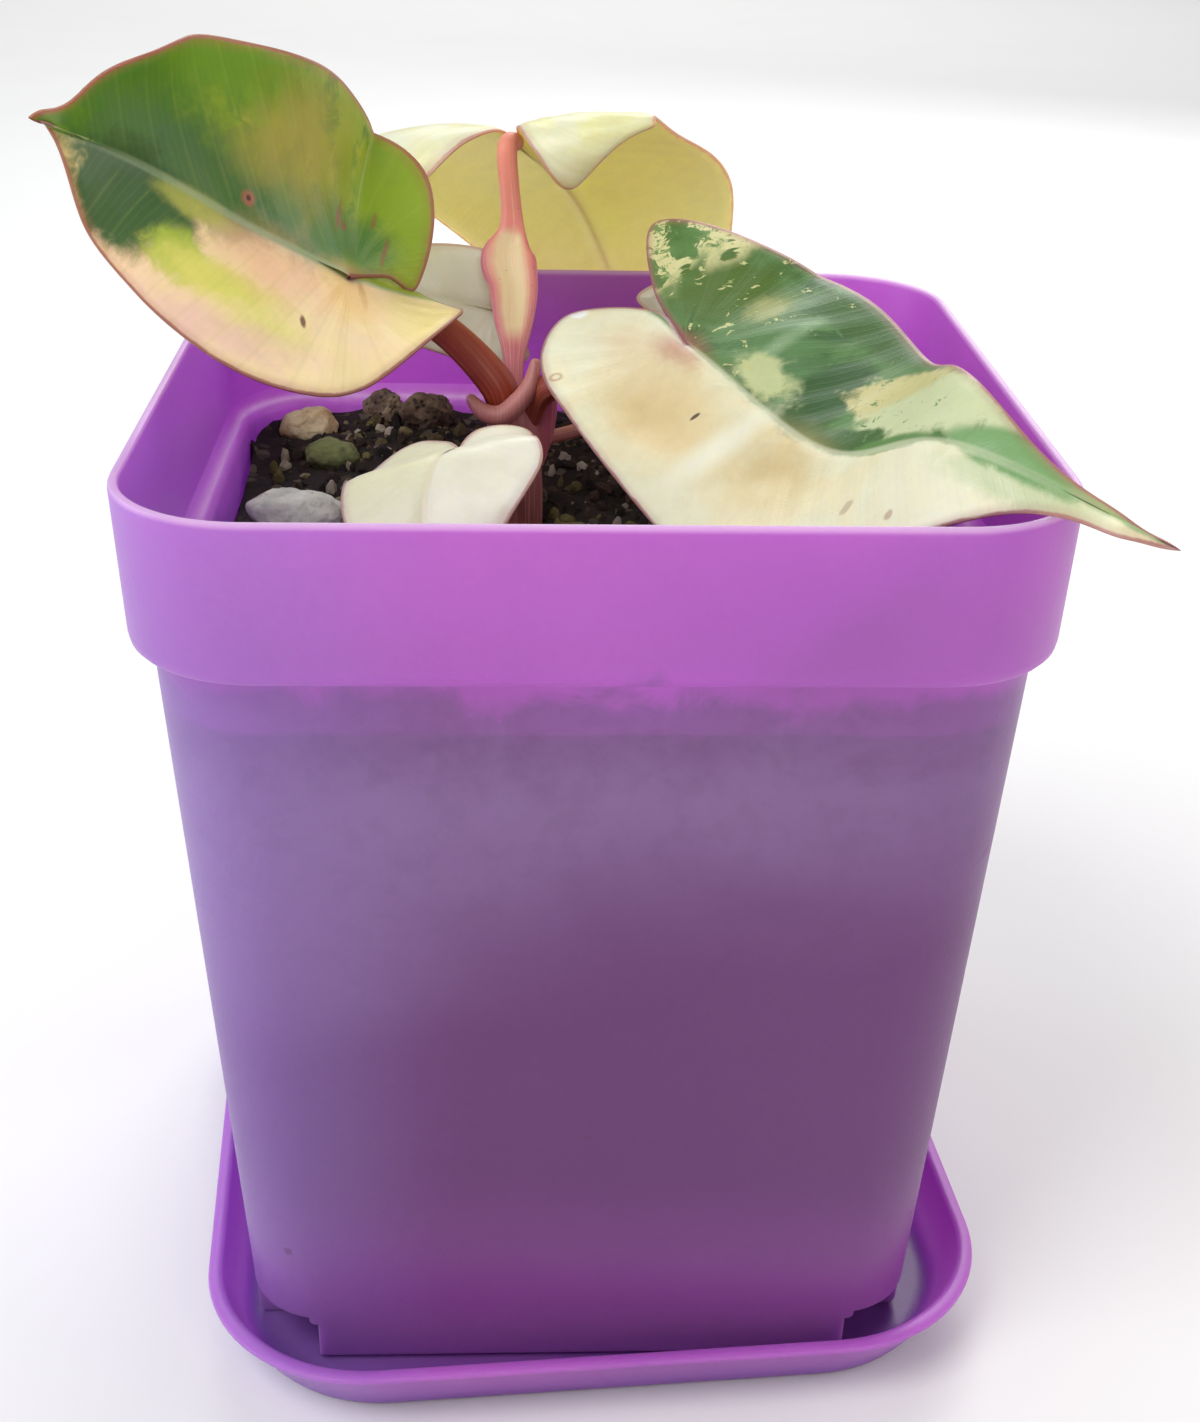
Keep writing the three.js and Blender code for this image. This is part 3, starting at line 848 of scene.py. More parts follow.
@dataclass
class NurseryPot:
    """Tapered square pot with a collar band, an inner ledge and stepped foot corners."""

    floor: float = 2.3
    thickness: float = 1.6
    wall: float = 1.2
    ledge: float = 100.0
    top: float = 118.0
    rim_half: float = 50.0
    rim_radius: float = 15.0
    band_half: float = 49.3
    band_radius: float = 14.5
    body_half: float = 46.8
    body_radius: float = 11.8
    foot_half: float = 41.5
    foot_radius: float = 9.5
    notch: float = 8.5
    notch_height: float = 7.0
    drain_radius: float = 3.5
    drain_spacing: float = 22.0

    def outside(self) -> bpy.types.Object:
        """Makes the solid outer form, with a rounded foot, band step and lip.

        Returns:
            The outer form.
        """
        f, b, c, r = self.foot_half, self.body_half, self.band_half, self.rim_half
        fr, br, cr, rr = self.foot_radius, self.body_radius, self.band_radius, self.rim_radius
        base, ledge, top = self.floor, self.ledge, self.top
        low = base + 0.8
        wall = [(f + (b - f) * t, fr + (br - fr) * t, low + (ledge - low) * t)
                for t in (0, 0.08, 0.16, 0.3, 0.45, 0.6, 0.75, 0.9, 1)]
        return square_body("pot_skin", [
            (f - 0.9, fr - 0.9, base), (f - 0.35, fr - 0.35, base + 0.15), *wall,
            (b + 0.25, br + 0.25, ledge + 0.1), (c - 0.7, cr - 0.7, ledge + 0.35),
            (c - 0.2, cr - 0.2, ledge + 0.9), (c, cr, ledge + 1.9),
            (r - 0.12, rr - 0.1, top - 1.0), (r - 0.16, rr - 0.15, top - 0.5),
            (r - 0.33, rr - 0.3, top - 0.15), (r - 0.6, rr - 0.6, top)])

    def inside(self) -> bpy.types.Object:
        """Makes the hollow, with its ledge and the rounded inner lip.

        Returns:
            The hollow's form.
        """
        halves = (self.foot_half, self.body_half, self.band_half, self.rim_half)
        radii = (self.foot_radius, self.body_radius, self.band_radius, self.rim_radius)
        f, b, c, r = (half - self.wall for half in halves)
        fr, br, cr, rr = (radius - self.wall for radius in radii)
        base, ledge, top = self.floor + self.thickness, self.ledge, self.top
        return square_body("pot_hollow", [
            (f - 0.8, fr - 0.8, base), (f, fr, base + 0.8),
            (b, br, ledge - 1.2), (b + 0.3, br + 0.3, ledge - 0.4),
            (c - 0.7, cr - 0.7, ledge + 0.8), (c - 0.1, cr - 0.1, ledge + 1.6), (c, cr, ledge + 3),
            (r, rr, top - 0.5), (r + 0.16, rr + 0.16, top - 0.15),
            (r + 0.5, rr + 0.5, top + 0.02), (r + 0.5, rr + 0.5, top + 3)])

    def corners(self, grow: float) -> bpy.types.Object:
        """Makes the four blocks that step in the foot's corners.

        Args:
            grow: How much larger than the steps.

        Returns:
            The blocks as one object.
        """
        low = self.foot_half - self.notch - grow
        size, below = 24.0, 5.0
        height = self.notch_height + grow + below
        away, up = low + size / 2, self.floor - below + height / 2
        form = bmesh.new()
        for x, y in ((1, 1), (-1, 1), (-1, -1), (1, -1)):
            spot = Matrix.Translation(Vector((x * away, y * away, up)) * MM)
            spot @= Matrix.Diagonal((size * MM, size * MM, height * MM, 1))
            bmesh.ops.create_cube(form, size=1, matrix=spot)
        bmesh.ops.bevel(form, geom=list(form.edges), offset=1.1 * MM, segments=3, affect="EDGES")
        return linked("foot_steps", form)

    def build(self, finish: PlasticFinish) -> None:
        """Makes the pot and puts it in its place.

        Args:
            finish: Its finish.
        """
        pot = cut(self.outside(), self.corners(0))
        cut(pot, cut(self.inside(), self.corners(self.wall)))
        for x, y in ((0, 0), (1, 0), (-1, 0), (0, 1), (0, -1)):
            at = (x * self.drain_spacing, y * self.drain_spacing, self.floor + 1)
            cut(pot, drum("drain", at, self.drain_radius, 8, 40))
        pot.name = "nursery_pot"
        handed(shaded(pot, 32), "pot", finish.build(True))


@dataclass
class Saucer:
    """Shallow square tray, turned a little under the pot."""

    height: float = 9.3
    floor: float = 2.0
    rim_half: float = 50.0
    rim_radius: float = 21.0
    foot_half: float = 44.5
    foot_radius: float = 18.0
    turn: float = 4.0

    def build(self, finish: PlasticFinish) -> None:
        """Makes the saucer and puts it in its place.

        Args:
            finish: Its finish.
        """
        f, fr, r, rr = self.foot_half, self.foot_radius, self.rim_half, self.rim_radius
        base, top = self.floor, self.height
        outer = [(f - 0.4, fr - 0.3, 0), (f + 0.5, fr + 0.4, 0.15), (f + 1.2, fr + 0.8, 0.8),
                 (f + 1.6, fr + 0.9, 1.6), (r - 0.9, rr - 0.5, top - 1.6)]
        lip = [(r - 0.35, rr - 0.2, top - 1.05), (r - 0.05, rr, top - 0.8), (r, rr, top - 0.45),
               (r - 0.1, rr - 0.05, top - 0.15), (r - 0.4, rr - 0.2, top), (r - 1.2, rr - 0.8, top),
               (r - 1.6, rr - 1, top - 0.15), (r - 1.85, rr - 1.1, top - 0.5)]
        inner = [(f + 1.9, fr + 0.9, base + 1.8), (f + 1.2, fr + 0.6, base + 0.7),
                 (f + 0.2, fr, base + 0.15), (f - 0.8, fr - 0.6, base)]
        tray = square_body("drip_saucer", outer + lip + inner, 20)
        tray.data.transform(Matrix.Rotation(math.radians(self.turn), 4, "Z"))
        handed(shaded(tray, 40), "saucer", finish.build(False))


# Soil and stones


@dataclass(frozen=True)
class Bits:
    """One kind of loose bits, with sizes in millimetres."""

    kind: str
    amount: float
    smallest: float
    largest: float
    flatness: float
    seed: int


@dataclass
class PottingMix:
    """The filled soil with loose bits of bark and grit on it."""

    half: float = 45.2
    radius: float = 10.2
    foot_half: float = 40.0
    foot_level: float = 3.9
    top_level: float = 99.0
    rings: int = 70
    around: int = 240
    floor: float = 4.3
    waist: float = 60.0
    lowest: float = 88.0
    level: float = 93.5
    highest: float = 100.5
    border: float = 4.0
    stem_at: tuple[float, float] = (-8.7, 11.8)
    stem_hole: float = 3.75
    stem_clear: tuple[float, float, float] = (-8.7, 11.7, 5.2)
    bits: tuple[Bits, ...] = (
        Bits("grit", 900.0, 0.9, 2.4, 0.85, 11), Bits("bark", 620.0, 1.4, 3.9, 0.42, 23),
        Bits("crumbs", 1500.0, 0.45, 1.1, 0.8, 37))

    def surface(self) -> bpy.types.Object:
        """Makes the filled body whose lumpy top follows the CAD soil.

        Returns:
            The body.
        """
        source = cad_copy("soil_source", "soil")
        tree = BVHTree.FromObject(source, bpy.context.evaluated_depsgraph_get())
        outline = rounded_square(self.half, self.radius, 40)
        outline = np.vstack([outline, outline[:1]])
        walk = np.r_[0, np.cumsum(np.linalg.norm(np.diff(outline, axis=0), axis=1))]
        even = np.linspace(0, walk[-1], self.around, endpoint=False)
        rim = np.c_[np.interp(even, walk, outline[:, 0]), np.interp(even, walk, outline[:, 1])]
        corners = []
        for ring in range(self.rings + 1):
            for x, y in rim * (ring / self.rings):
                hit = tree.ray_cast(Vector((x, y, 130)) * MM, Vector((0, 0, -1)))[0]
                z = hit.z / MM if hit and hit.z > self.lowest * MM else self.level
                grain = noise.fractal(Vector((x / 2.2, y / 2.2, 3.0)), 0.9, 2.1, 4)
                corners.append((x, y, min(z, self.highest) + 0.35 * grain))
        for z in (self.waist, self.floor):
            share = (z - self.foot_level) / (self.top_level - self.foot_level)
            scale = (self.foot_half + (self.half - self.foot_half) * share) / self.half
            corners.extend((x * scale, y * scale, z) for x, y in rim)
        last = (self.rings + 2) * self.around
        faces = bands(self.rings + 2, self.around) + [list(range(last, last + self.around))]
        bpy.data.objects.remove(source)
        return make_object("potting_mix", np.array(corners), faces)

    def tree(self) -> bpy.types.NodeTree:
        """Builds the node tree that strews bits on a surface.

        Returns:
            The tree.
        """
        group = bpy.data.node_groups.new("strewn_bits", "GeometryNodeTree")
        for name, kind in (("Geometry", "Geometry"), ("Amount", "Float"), ("Smallest", "Float"),
                           ("Largest", "Float"), ("Flatness", "Float"), ("Seed", "Int"),
                           ("Finish", "Material")):
            group.interface.new_socket(name, in_out="INPUT", socket_type=f"NodeSocket{kind}")
        group.interface.new_socket("Geometry", in_out="OUTPUT", socket_type="NodeSocketGeometry")

        def add(kind: str, sockets: dict, **settings: object) -> bpy.types.NodeOutputs:
            """Adds a node and returns its outputs."""
            return new_node(group, kind, sockets, **settings).outputs

        given = add("NodeGroupInput", {})
        seed = given["Seed"]
        spread = add("GeometryNodeDistributePointsOnFaces",
                     {"Mesh": given["Geometry"], "Density": given["Amount"], "Seed": seed})
        ball = add("GeometryNodeMeshIcoSphere", {"Subdivisions": 2, "Radius": 1.0})
        rough = add("ShaderNodeTexNoise", {"Scale": 1.4})
        push = add("ShaderNodeVectorMath", {0: rough["Color"], 1: (1.1, 1.1, 1.1), 2: (-0.55, -0.55, -0.55)},
                   operation="MULTIPLY_ADD")
        chip = add("GeometryNodeSetPosition", {"Geometry": ball["Mesh"], "Offset": push[0]})
        size = add("FunctionNodeRandomValue", {2: given["Smallest"], 3: given["Largest"], "Seed": seed})
        thin = add("ShaderNodeMath", {0: size[1], 1: given["Flatness"]}, operation="MULTIPLY")
        flat = add("ShaderNodeCombineXYZ", {0: size[1], 1: thin[0], 2: thin[0]})
        turn = add("FunctionNodeRandomValue", {1: (TURN, TURN, TURN), "Seed": seed}, data_type="FLOAT_VECTOR")
        on = add("GeometryNodeInstanceOnPoints", {"Points": spread["Points"], "Instance": chip["Geometry"],
                                                  "Rotation": turn[0], "Scale": flat[0]})
        tone = add("FunctionNodeRandomValue", {"Seed": 5})
        keep = add("GeometryNodeStoreNamedAttribute",
                   {"Geometry": on["Instances"], "Name": "tone", "Value": tone[1]},
                   domain="INSTANCE", data_type="FLOAT")
        real = add("GeometryNodeRealizeInstances", {0: keep["Geometry"]})
        dress = add("GeometryNodeSetMaterial", {"Geometry": real[0], "Material": given["Finish"]})
        add("NodeGroupOutput", {0: dress[0]})
        return group

    def strewn(self, bits: Bits, group: bpy.types.NodeTree, ground: bpy.types.Mesh,
               material: bpy.types.Material) -> None:
        """Strews one kind of bits on the soil, as one plain mesh.

        Args:
            bits: The kind of bits.
            group: The node tree.
            ground: The surface to strew them on.
            material: Their material.
        """
        piece = shown(bpy.data.objects.new(f"loose_{bits.kind}", ground))
        step = piece.modifiers.new("strew", "NODES")
        step.node_group = group
        area = (2 * self.half * MM) ** 2
        values = {"Amount": bits.amount / area, "Smallest": bits.smallest / 2 * MM,
                  "Largest": bits.largest / 2 * MM, "Flatness": bits.flatness, "Seed": bits.seed,
                  "Finish": material}
        for item in group.interface.items_tree:
            if item.in_out == "INPUT" and item.name in values:
                step[item.identifier] = values[item.name]
        applied(piece)
        piece.data.shade_flat()
        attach(piece, "root")
        LOG.info("%s has %d faces", piece.name, len(piece.data.polygons))

    def ground(self, soil: bpy.types.Object) -> bpy.types.Mesh:
        """Copies the open top of the soil, without the places of stones and stem.

        Args:
            soil: The soil.

        Returns:
            The surface that bits may lie on.
        """
        spots = [(s.at[0], s.at[1], max(s.radii[0], s.radii[1]) - 0.8) for s in STONES] + [self.stem_clear]
        mesh = soil.data.copy()
        form = bmesh.new()
        form.from_mesh(mesh)
        away = []
        for f in form.faces:
            c = f.calc_center_median() / MM
            near = any(math.hypot(c.x - x, c.y - y) < r for x, y, r in spots)
            outer = max(abs(c.x), abs(c.y)) > self.half - self.border
            if f.normal.z < 0.2 or outer or near or c.z < self.lowest:
                away.append(f)
        bmesh.ops.delete(form, geom=away, context="FACES")
        form.to_mesh(mesh)
        form.free()
        return mesh

    def build(self, finish: EarthFinish) -> None:
        """Makes the soil and its loose bits.

        Args:
            finish: Their finish.
        """
        soil = self.surface()
        ground, group, chips = self.ground(soil), self.tree(), finish.build(True)
        for bits in self.bits:
            self.strewn(bits, group, ground, chips)
        cut(soil, drum("stem_hole", (*self.stem_at, 92), self.stem_hole, 41, 48))
        cut(soil, NurseryPot().corners(1.6))
        handed(shaded(soil, 60), "soil", finish.build(False))


@dataclass
class Stone:
    """A loose stone, made finer from its CAD form."""

    node: str
    at: tuple[float, float, float]
    radii: tuple[float, float, float]
    slot: Slot
    finish: StoneFinish
    rough: float = 0.25

    def build(self) -> None:
        """Makes the stone and puts it in its place."""
        piece = cad_copy(f"{self.node}_fine", self.node)
        step = piece.modifiers.new("finer", "SUBSURF")
        step.levels = step.render_levels = 3
        applied(piece)
        mesh = piece.data
        middle = Vector(self.at) * MM
        for corner in mesh.vertices:
            away = (corner.co - middle).normalized()
            spot = corner.co / MM
            lift = noise.fractal(spot * 0.55, 0.8, 2.0, 4) * self.rough + self.rough * 0.5
            corner.co += away * lift * MM
        handed(shaded(piece), self.node, self.finish.build())


STONES = (
    Stone("stone_white", (-36.5, 8, 96.5), (6, 4.2, 3.4), Slot.LIGHT_STONE,
          StoneFinish("limestone", "e9ebe4", "c6cac6", "7d786c")),
    Stone("stone_tan", (-37.5, 38, 98.4), (4.2, 3.2, 2.6), Slot.TAN_STONE,
          StoneFinish("tan_stone", "b08a5c", "dcc9a6", "5a3f2a")),
    Stone("stone_green", (-33.5, 28.5, 97.2), (3.8, 3, 2.4), Slot.GREEN_STONE,
          StoneFinish("mossy_stone", "7d8350", "58603c", "2b2a1e")),
    Stone("pumice_left", (-27.5, 43.2, 99.6), (2.6, 2.3, 2.4), Slot.PUMICE,
          StoneFinish("pumice_one", "93806b", "56443a", "1f1714", 0.8), 0.4),
    Stone("pumice_right", (-21, 40.5, 99.8), (3.6, 2.5, 2.8), Slot.PUMICE,
          StoneFinish("pumice_two", "86705a", "4b3a30", "1c1412", 0.8), 0.4),
)


# Stem and petioles


@dataclass(frozen=True)
class Limb:
    """A tube with an oval section that widens and narrows along its path."""

    path: tuple[tuple[float, float, float], ...]
    width: tuple[float, ...]
    depth: tuple[float, ...]
    facing: tuple[float, float, float] = (0.0, -0.6, 0.8)
    channel: float = 0.0
    sides: int = 36
    steps: int = 90

    def mesh(self, name: str) -> bpy.types.Object:
        """Makes the tube with rounded ends and the numbers that its finish reads.

        Args:
            name: Name of the object.

        Returns:
            The tube.
        """
        share = np.r_[0, np.linspace(0, 1, self.steps + 1), 1]
        spans = len(self.path) - 1
        points = catmull(self.path, share * spans)
        ahead = catmull(self.path, np.minimum(share * spans + NEAR, spans))
        before = catmull(self.path, np.maximum(share * spans - NEAR, 0))
        along = unit(ahead - before)
        facing = np.array(self.facing, float)
        out = unit(facing - (along @ facing)[:, None] * along)
        across = np.cross(along, out)
        wide, deep = (catmull(np.array([v]).T, share * (len(v) - 1))[:, 0] for v in (self.width, self.depth))
        travel = np.r_[0, np.cumsum(np.linalg.norm(np.diff(points, axis=0), axis=1))]
        cap = np.minimum(wide, deep) * 0.9
        near = np.clip(np.minimum(travel, travel[-1] - travel) / cap, 0, 1)
        closing = np.sqrt(np.clip(1 - (1 - near) ** 2, 0, 1))
        closing[0] = closing[-1] = 0
        turns = np.linspace(0, 2 * math.pi, self.sides, endpoint=False)
        side, rise = np.sin(turns), np.cos(turns)
        hollow = self.channel * np.clip((wide - 1.5) / 1.2, 0, 1)[:, None] * np.exp(-(side / 0.5) ** 2)
        rise = np.where(rise > 0, rise * (1 - hollow), rise)
        ring = out[:, None] * (deep[:, None] * rise)[..., None]
        ring += across[:, None] * (wide[:, None] * side)[..., None]
        corners = points[:, None] + closing[:, None, None] * ring
        values = {"length": np.repeat(travel / travel[-1], self.sides), "turn": np.tile(side, len(share)),
                  "wide": np.repeat(np.clip((wide - 1.3) / 2.2, 0, 1), self.sides)}
        return make_object(name, corners.reshape(-1, 3), bands(len(share) - 1, self.sides), values, 0.005)


@dataclass
class Stem:
    """The short stem with the curled edge of its sheath and the pale sheath beside it."""

    core: Limb = Limb(((-8.5, 12, 72), (-8.5, 12, 92), (-8.8, 11.5, 104), (-9.2, 11, 112)),
                      (2.2, 3.3, 3.4, 3.2), (2.2, 3.3, 3.4, 3.2), (0, -1, 0))
    collar: Limb = Limb(((-14.6, 10, 111.9), (-12.8, 8.4, 110.4), (-10.6, 7.6, 110.1), (-8.6, 7.9, 111.5),
                         (-6.9, 8.8, 113.6), (-6.1, 10, 116.8)),
                        (0.6, 1.1, 1.3, 1.3, 1.1, 0.6), (0.8, 1.3, 1.5, 1.5, 1.2, 0.7), (0, -1, 0.4))
    sheath: Limb = Limb(((-6.4, 11.5, 102), (-5.2, 11.2, 107), (-4.6, 11, 111), (-4.4, 11, 113.5)),
                        (1.2, 1.4, 1.2, 0.5), (1, 1.2, 1, 0.5), (0, -1, 0.2))

    def build(self, finish: StalkFinish) -> None:
        """Makes the stem as one grown body and puts it in its place.

        Args:
            finish: Its finish.
        """
        joined = bmesh.new()
        for limb in (self.core, self.collar, self.sheath):
            part = limb.mesh("stem_part")
            joined.from_mesh(part.data)
            bpy.data.objects.remove(part)
        piece = linked("plant_stem", joined)
        step = piece.modifiers.new("grown", "REMESH")
        step.mode = "VOXEL"
        step.voxel_size = 0.22 * MM
        soft = piece.modifiers.new("soft", "SMOOTH")
        soft.factor, soft.iterations = 0.5, 4
        applied(piece)
        spots = np.array([v.co for v in piece.data.vertices]) / MM
        for key, numbers in (("length", (spots[:, 2] - 92) / 24), ("turn", (spots[:, 0] + 8.5) / 3.4),
                             ("wide", smooth(spots[:, 0], -6.6, -4.6) * smooth(spots[:, 2], 101, 104))):
            layer = piece.data.attributes.new(key, "FLOAT", "POINT")
            layer.data.foreach_set("value", numbers.astype(np.float32))
        handed(shaded(piece), "stem", finish.build())


# Blades


@dataclass(frozen=True)
class HalfShape:
    """Form of one half of a blade: its lobe, widths, folds, curls and droop."""

    lobe: float
    widths: tuple[float, ...]
    fold: tuple[float, float, float]
    curl: tuple[float, float, float]
    droop: float


@dataclass(frozen=True)
class Dimple:
    """A soft hollow or swelling in a blade."""

    share: float
    reach: float
    depth: float
    radius: float


@dataclass
class Leaf:
    """A heart-shaped blade on its petiole."""

    name: str
    spine: tuple[tuple[float, float, float], ...]
    side0: tuple[float, float, float]
    side1: tuple[float, float, float]
    right: HalfShape
    left: HalfShape
    petiole: Limb
    finish: LeafFinish
    slot: Slot
    stalk: StalkFinish
    stalk_slot: Slot
    dimples: tuple[Dimple, ...] = ()
    quilt: float = 0.1
    wave: float = 0.25
    lobe_rows: int = 30
    body_rows: int = 80
    across: int = 36
    thickness: float = 0.7
    stations: tuple[float, ...] = (0.15, 0.5, 0.8, 0.93)

    def half(self, side: Half) -> HalfShape:
        """Returns the form of one half."""
        return self.right if side is Half.RIGHT else self.left

    def length(self) -> float:
        """Returns the length of the spine."""
        walk = catmull(self.spine, np.linspace(0, len(self.spine) - 1, 200))
        return float(np.linalg.norm(np.diff(walk, axis=0), axis=1).sum())

    def frame(self, share: np.ndarray) -> tuple[np.ndarray, np.ndarray, np.ndarray, np.ndarray]:
        """Point and axes of the spine.

        Args:
            share: Places along it, from 0 to 1.

        Returns:
            Points, directions along, directions across and directions up.
        """
        spans = len(self.spine) - 1
        at = np.clip(share, 0, 1) * spans
        point = catmull(self.spine, at)
        ahead = catmull(self.spine, np.minimum(at + NEAR, spans))
        along = unit(ahead - catmull(self.spine, np.maximum(at - NEAR, 0)))
        t = np.clip(share, 0, 1)[:, None]
        across = unit(unit(np.array(self.side0)) * (1 - t) + unit(np.array(self.side1)) * t)
        return point, along, across, unit(np.cross(across, along))

    def place(self, share: np.ndarray, reach: np.ndarray, side: Half) -> np.ndarray:
        """Places of points of one half.

        Args:
            share: Shares along the spine, negative in the lobe.
            reach: Distances from it in millimetres.
            side: The half.

        Returns:
            The points.
        """
        shape = self.half(side)
        point, along, across, up = self.frame(share)
        back = np.minimum(share, 0) * self.length()
        bend = math.radians(shape.droop)
        angle = bend * back
        point = point + along * (np.sin(angle) / bend)[:, None] - up * ((1 - np.cos(angle)) / bend)[:, None]
        lifted = up * np.cos(angle)[:, None] + along * np.sin(angle)[:, None]
        rear, fore = np.clip(-share / shape.lobe, 0, 1), np.clip(share, 0, 1)

        def blend(values: tuple[float, float, float]) -> np.ndarray:
            """Returns a value blended from the lobe over the base to the tip."""
            lobe, base, tip = (math.radians(v) for v in values)
            return np.where(share < 0, base + (lobe - base) * rear, base + (tip - base) * fore)

        fold, curl = blend(shape.fold), blend(shape.curl) / 20
        curl = np.where(np.abs(curl) < 1e-5, 1e-5, curl)
        out = (np.sin(fold + curl * reach) - np.sin(fold)) / curl
        rise = (np.cos(fold) - np.cos(fold + curl * reach)) / curl
        return point + across * side.value * out[:, None] + lifted * rise[:, None]

    def margin(self, side: Half, at: np.ndarray) -> np.ndarray:
        """Points of the margin of one half, as share and distance.

        Args:
            side: The half.
            at: Places along it, from 0 at the base to 8 at the tip.

        Returns:
            The points.
        """
        shape = self.half(side)
        shares = [-0.55 * shape.lobe, -shape.lobe, -0.45 * shape.lobe, *self.stations]
        points = [(0.0, 0.0), *zip(shares, shape.widths), (1.0, 0.0)]
        return catmull(np.array(points), at)

    def plan(self, side: Half) -> np.ndarray:
        """Rows and columns of one half, as share and distance.

        Args:
            side: The half.

        Returns:
            An array of rows, columns and two numbers.
        """
        f = np.linspace(0, 1, self.lobe_rows + 1)
        g = np.linspace(0, 1, self.body_rows + 1)[1:]
        inner = np.vstack([self.margin(side, 2 * (1 - f)), np.c_[g, 0 * g]])
        outer = np.vstack([self.margin(side, 2 + 1.8 * f), self.margin(side, 3.8 + 4.2 * g)])
        v = np.linspace(0, 1, self.across + 1)[None, :, None]
        return inner[:, None] + (outer - inner)[:, None] * v

    def sheet(self, side: Half) -> dict[str, np.ndarray]:
        """Mid-surface of one half, its normals and the numbers that the finish reads.

        Args:
            side: The half.

        Returns:
            Arrays by name.
        """
        plan = self.plan(side)
        share, reach = plan[..., 0].ravel(), plan[..., 1].ravel()
        points = self.place(share, reach, side).reshape(plan.shape[:2] + (3,))
        rows = np.gradient(points, axis=0)
        columns = np.gradient(points, axis=1)
        normal = unit(np.cross(rows, columns)) * -side.value
        normal[0] = normal[1]
        normal[-1] = normal[-2]
        length = self.length()
        flat = np.c_[share * length, reach]
        steps = np.linspace(0, 8, 500)
        border = self.margin(side, steps) * np.array([length, 1])
        apart = np.linalg.norm(flat[:, None] - border[None], axis=2)
        edge, walk = apart.min(axis=1), steps[apart.argmin(axis=1)]
        x, y = flat[:, 0], flat[:, 1]
        lean = 0.75
        angle = np.mod(np.arctan2(y, x), 2 * math.pi)
        vein = np.where(x - lean * y >= 0, x - lean * y, (math.atan2(1, lean) - angle) * 15)
        away = smooth(edge, 0, 3.5) * smooth(y, 0.5, 3)
        lift = self.quilt * np.cos(2 * math.pi * vein / VEIN_GAP) * away
        ripple = np.sin(walk * 5.3 + 1.7 * side.value) * (1 - smooth(edge, 0, 6)) * smooth(x, -6, 2)
        lift += self.wave * ripple
        for d in self.dimples:
            apart = np.hypot((share - d.share) * length, side.value * reach - d.reach)
            lift -= d.depth * np.exp(-(apart / d.radius) ** 2)
        flat_values = {"lift": lift, "edge": edge, "share": share, "reach": side.value * reach, "vein": vein}
        return {"points": points, "normal": normal,
                **{key: numbers.reshape(plan.shape[:2]) for key, numbers in flat_values.items()}}

    def blade(self) -> bpy.types.Object:
        """Makes the blade, thinner at its margin, with its midrib and veins in relief.

        Returns:
            The blade.
        """
        halves = {side: self.sheet(side) for side in Half}
        a, b = halves[Half.RIGHT], halves[Half.LEFT]
        start = self.lobe_rows
        shared = unit(a["normal"][start:, 0] + b["normal"][start:, 0])
        a["normal"][start:, 0] = b["normal"][start:, 0] = shared
        for near in (1, 2, 3):
            weight = near / 4
            for h in (a, b):
                h["normal"][start:, near] = unit(shared * (1 - weight) + h["normal"][start:, near] * weight)
        a["normal"][-1] = b["normal"][-1] = shared[-1]
        carried = ("share", "reach", "vein", "edge")
        corners, values, faces = [], {k: [] for k in (*carried, "upper")}, []
        offset = 0
        for h in halves.values():
            rows, columns = h["share"].shape
            rib = np.exp(-(h["reach"] / 0.9) ** 2) * smooth(h["share"], -0.05, 0.02)
            rib *= 1 - 0.75 * np.clip(h["share"], 0, 1)
            thick = self.thickness / 2 * (0.38 + 0.62 * smooth(h["edge"], 0, 1.6))
            top = h["points"] + h["normal"] * (h["lift"] + thick - 0.28 * rib)[..., None]
            low = h["points"] + h["normal"] * (h["lift"] - thick - 0.55 * rib)[..., None]
            size = rows * columns
            for upper, grid in ((1.0, top), (0.0, low)):
                corners.append(grid.reshape(-1, 3))
                for key in carried:
                    values[key].append(h[key].ravel())
                values["upper"].append(np.full(size, upper))
            index = np.arange(size).reshape(rows, columns) + offset
            quads = np.stack([index[:-1, :-1], index[:-1, 1:], index[1:, 1:], index[1:, :-1]], -1)
            quads = quads.reshape(-1, 4)
            faces += quads.tolist() + (quads[:, ::-1] + size).tolist()
            for line in (index[:, -1], index[:self.lobe_rows + 1, 0]):
                faces += np.stack([line[:-1], line[1:], line[1:] + size, line[:-1] + size], -1).tolist()
            offset += 2 * size
        merged = {k: np.concatenate(v) for k, v in values.items()}
        return make_object(f"leaf_{self.name}", np.vstack(corners), faces, merged)

    def stalk_limb(self) -> Limb:
        """Leads the petiole on to its knee and its end under the blade.

        Returns:
            The petiole.
        """
        point, along, _, up = (v[0] for v in self.frame(np.array([0.0])))
        knee = point - 3.5 * up - 3 * along
        end = point - 0.45 * up
        p = self.petiole
        return Limb((*p.path, tuple(knee), tuple(end)), p.width, p.depth, p.facing, p.channel)

    def build(self) -> None:
        """Makes the blade and its petiole and puts them in their places."""
        handed(shaded(self.blade()), f"blade_{self.name}", self.finish.build())
        stalk = self.stalk_limb().mesh(f"stalk_{self.name}")
        handed(shaded(stalk), f"petiole_{self.name}", self.stalk.build())


RED_STALK = StalkFinish("brick_red_stalk", "96361e", "ac4a28", "c06a42")
PINK_STALK = StalkFinish("pink_stalk", "c96a72", "ef8f76", "f0b59a", "e9d2a0")
HIDDEN_STALK = StalkFinish("pale_stalk", "c07a68", "d8a48c", "e2b9a2")
THIN = (0.9, 0.9, 0.8, 0.7)

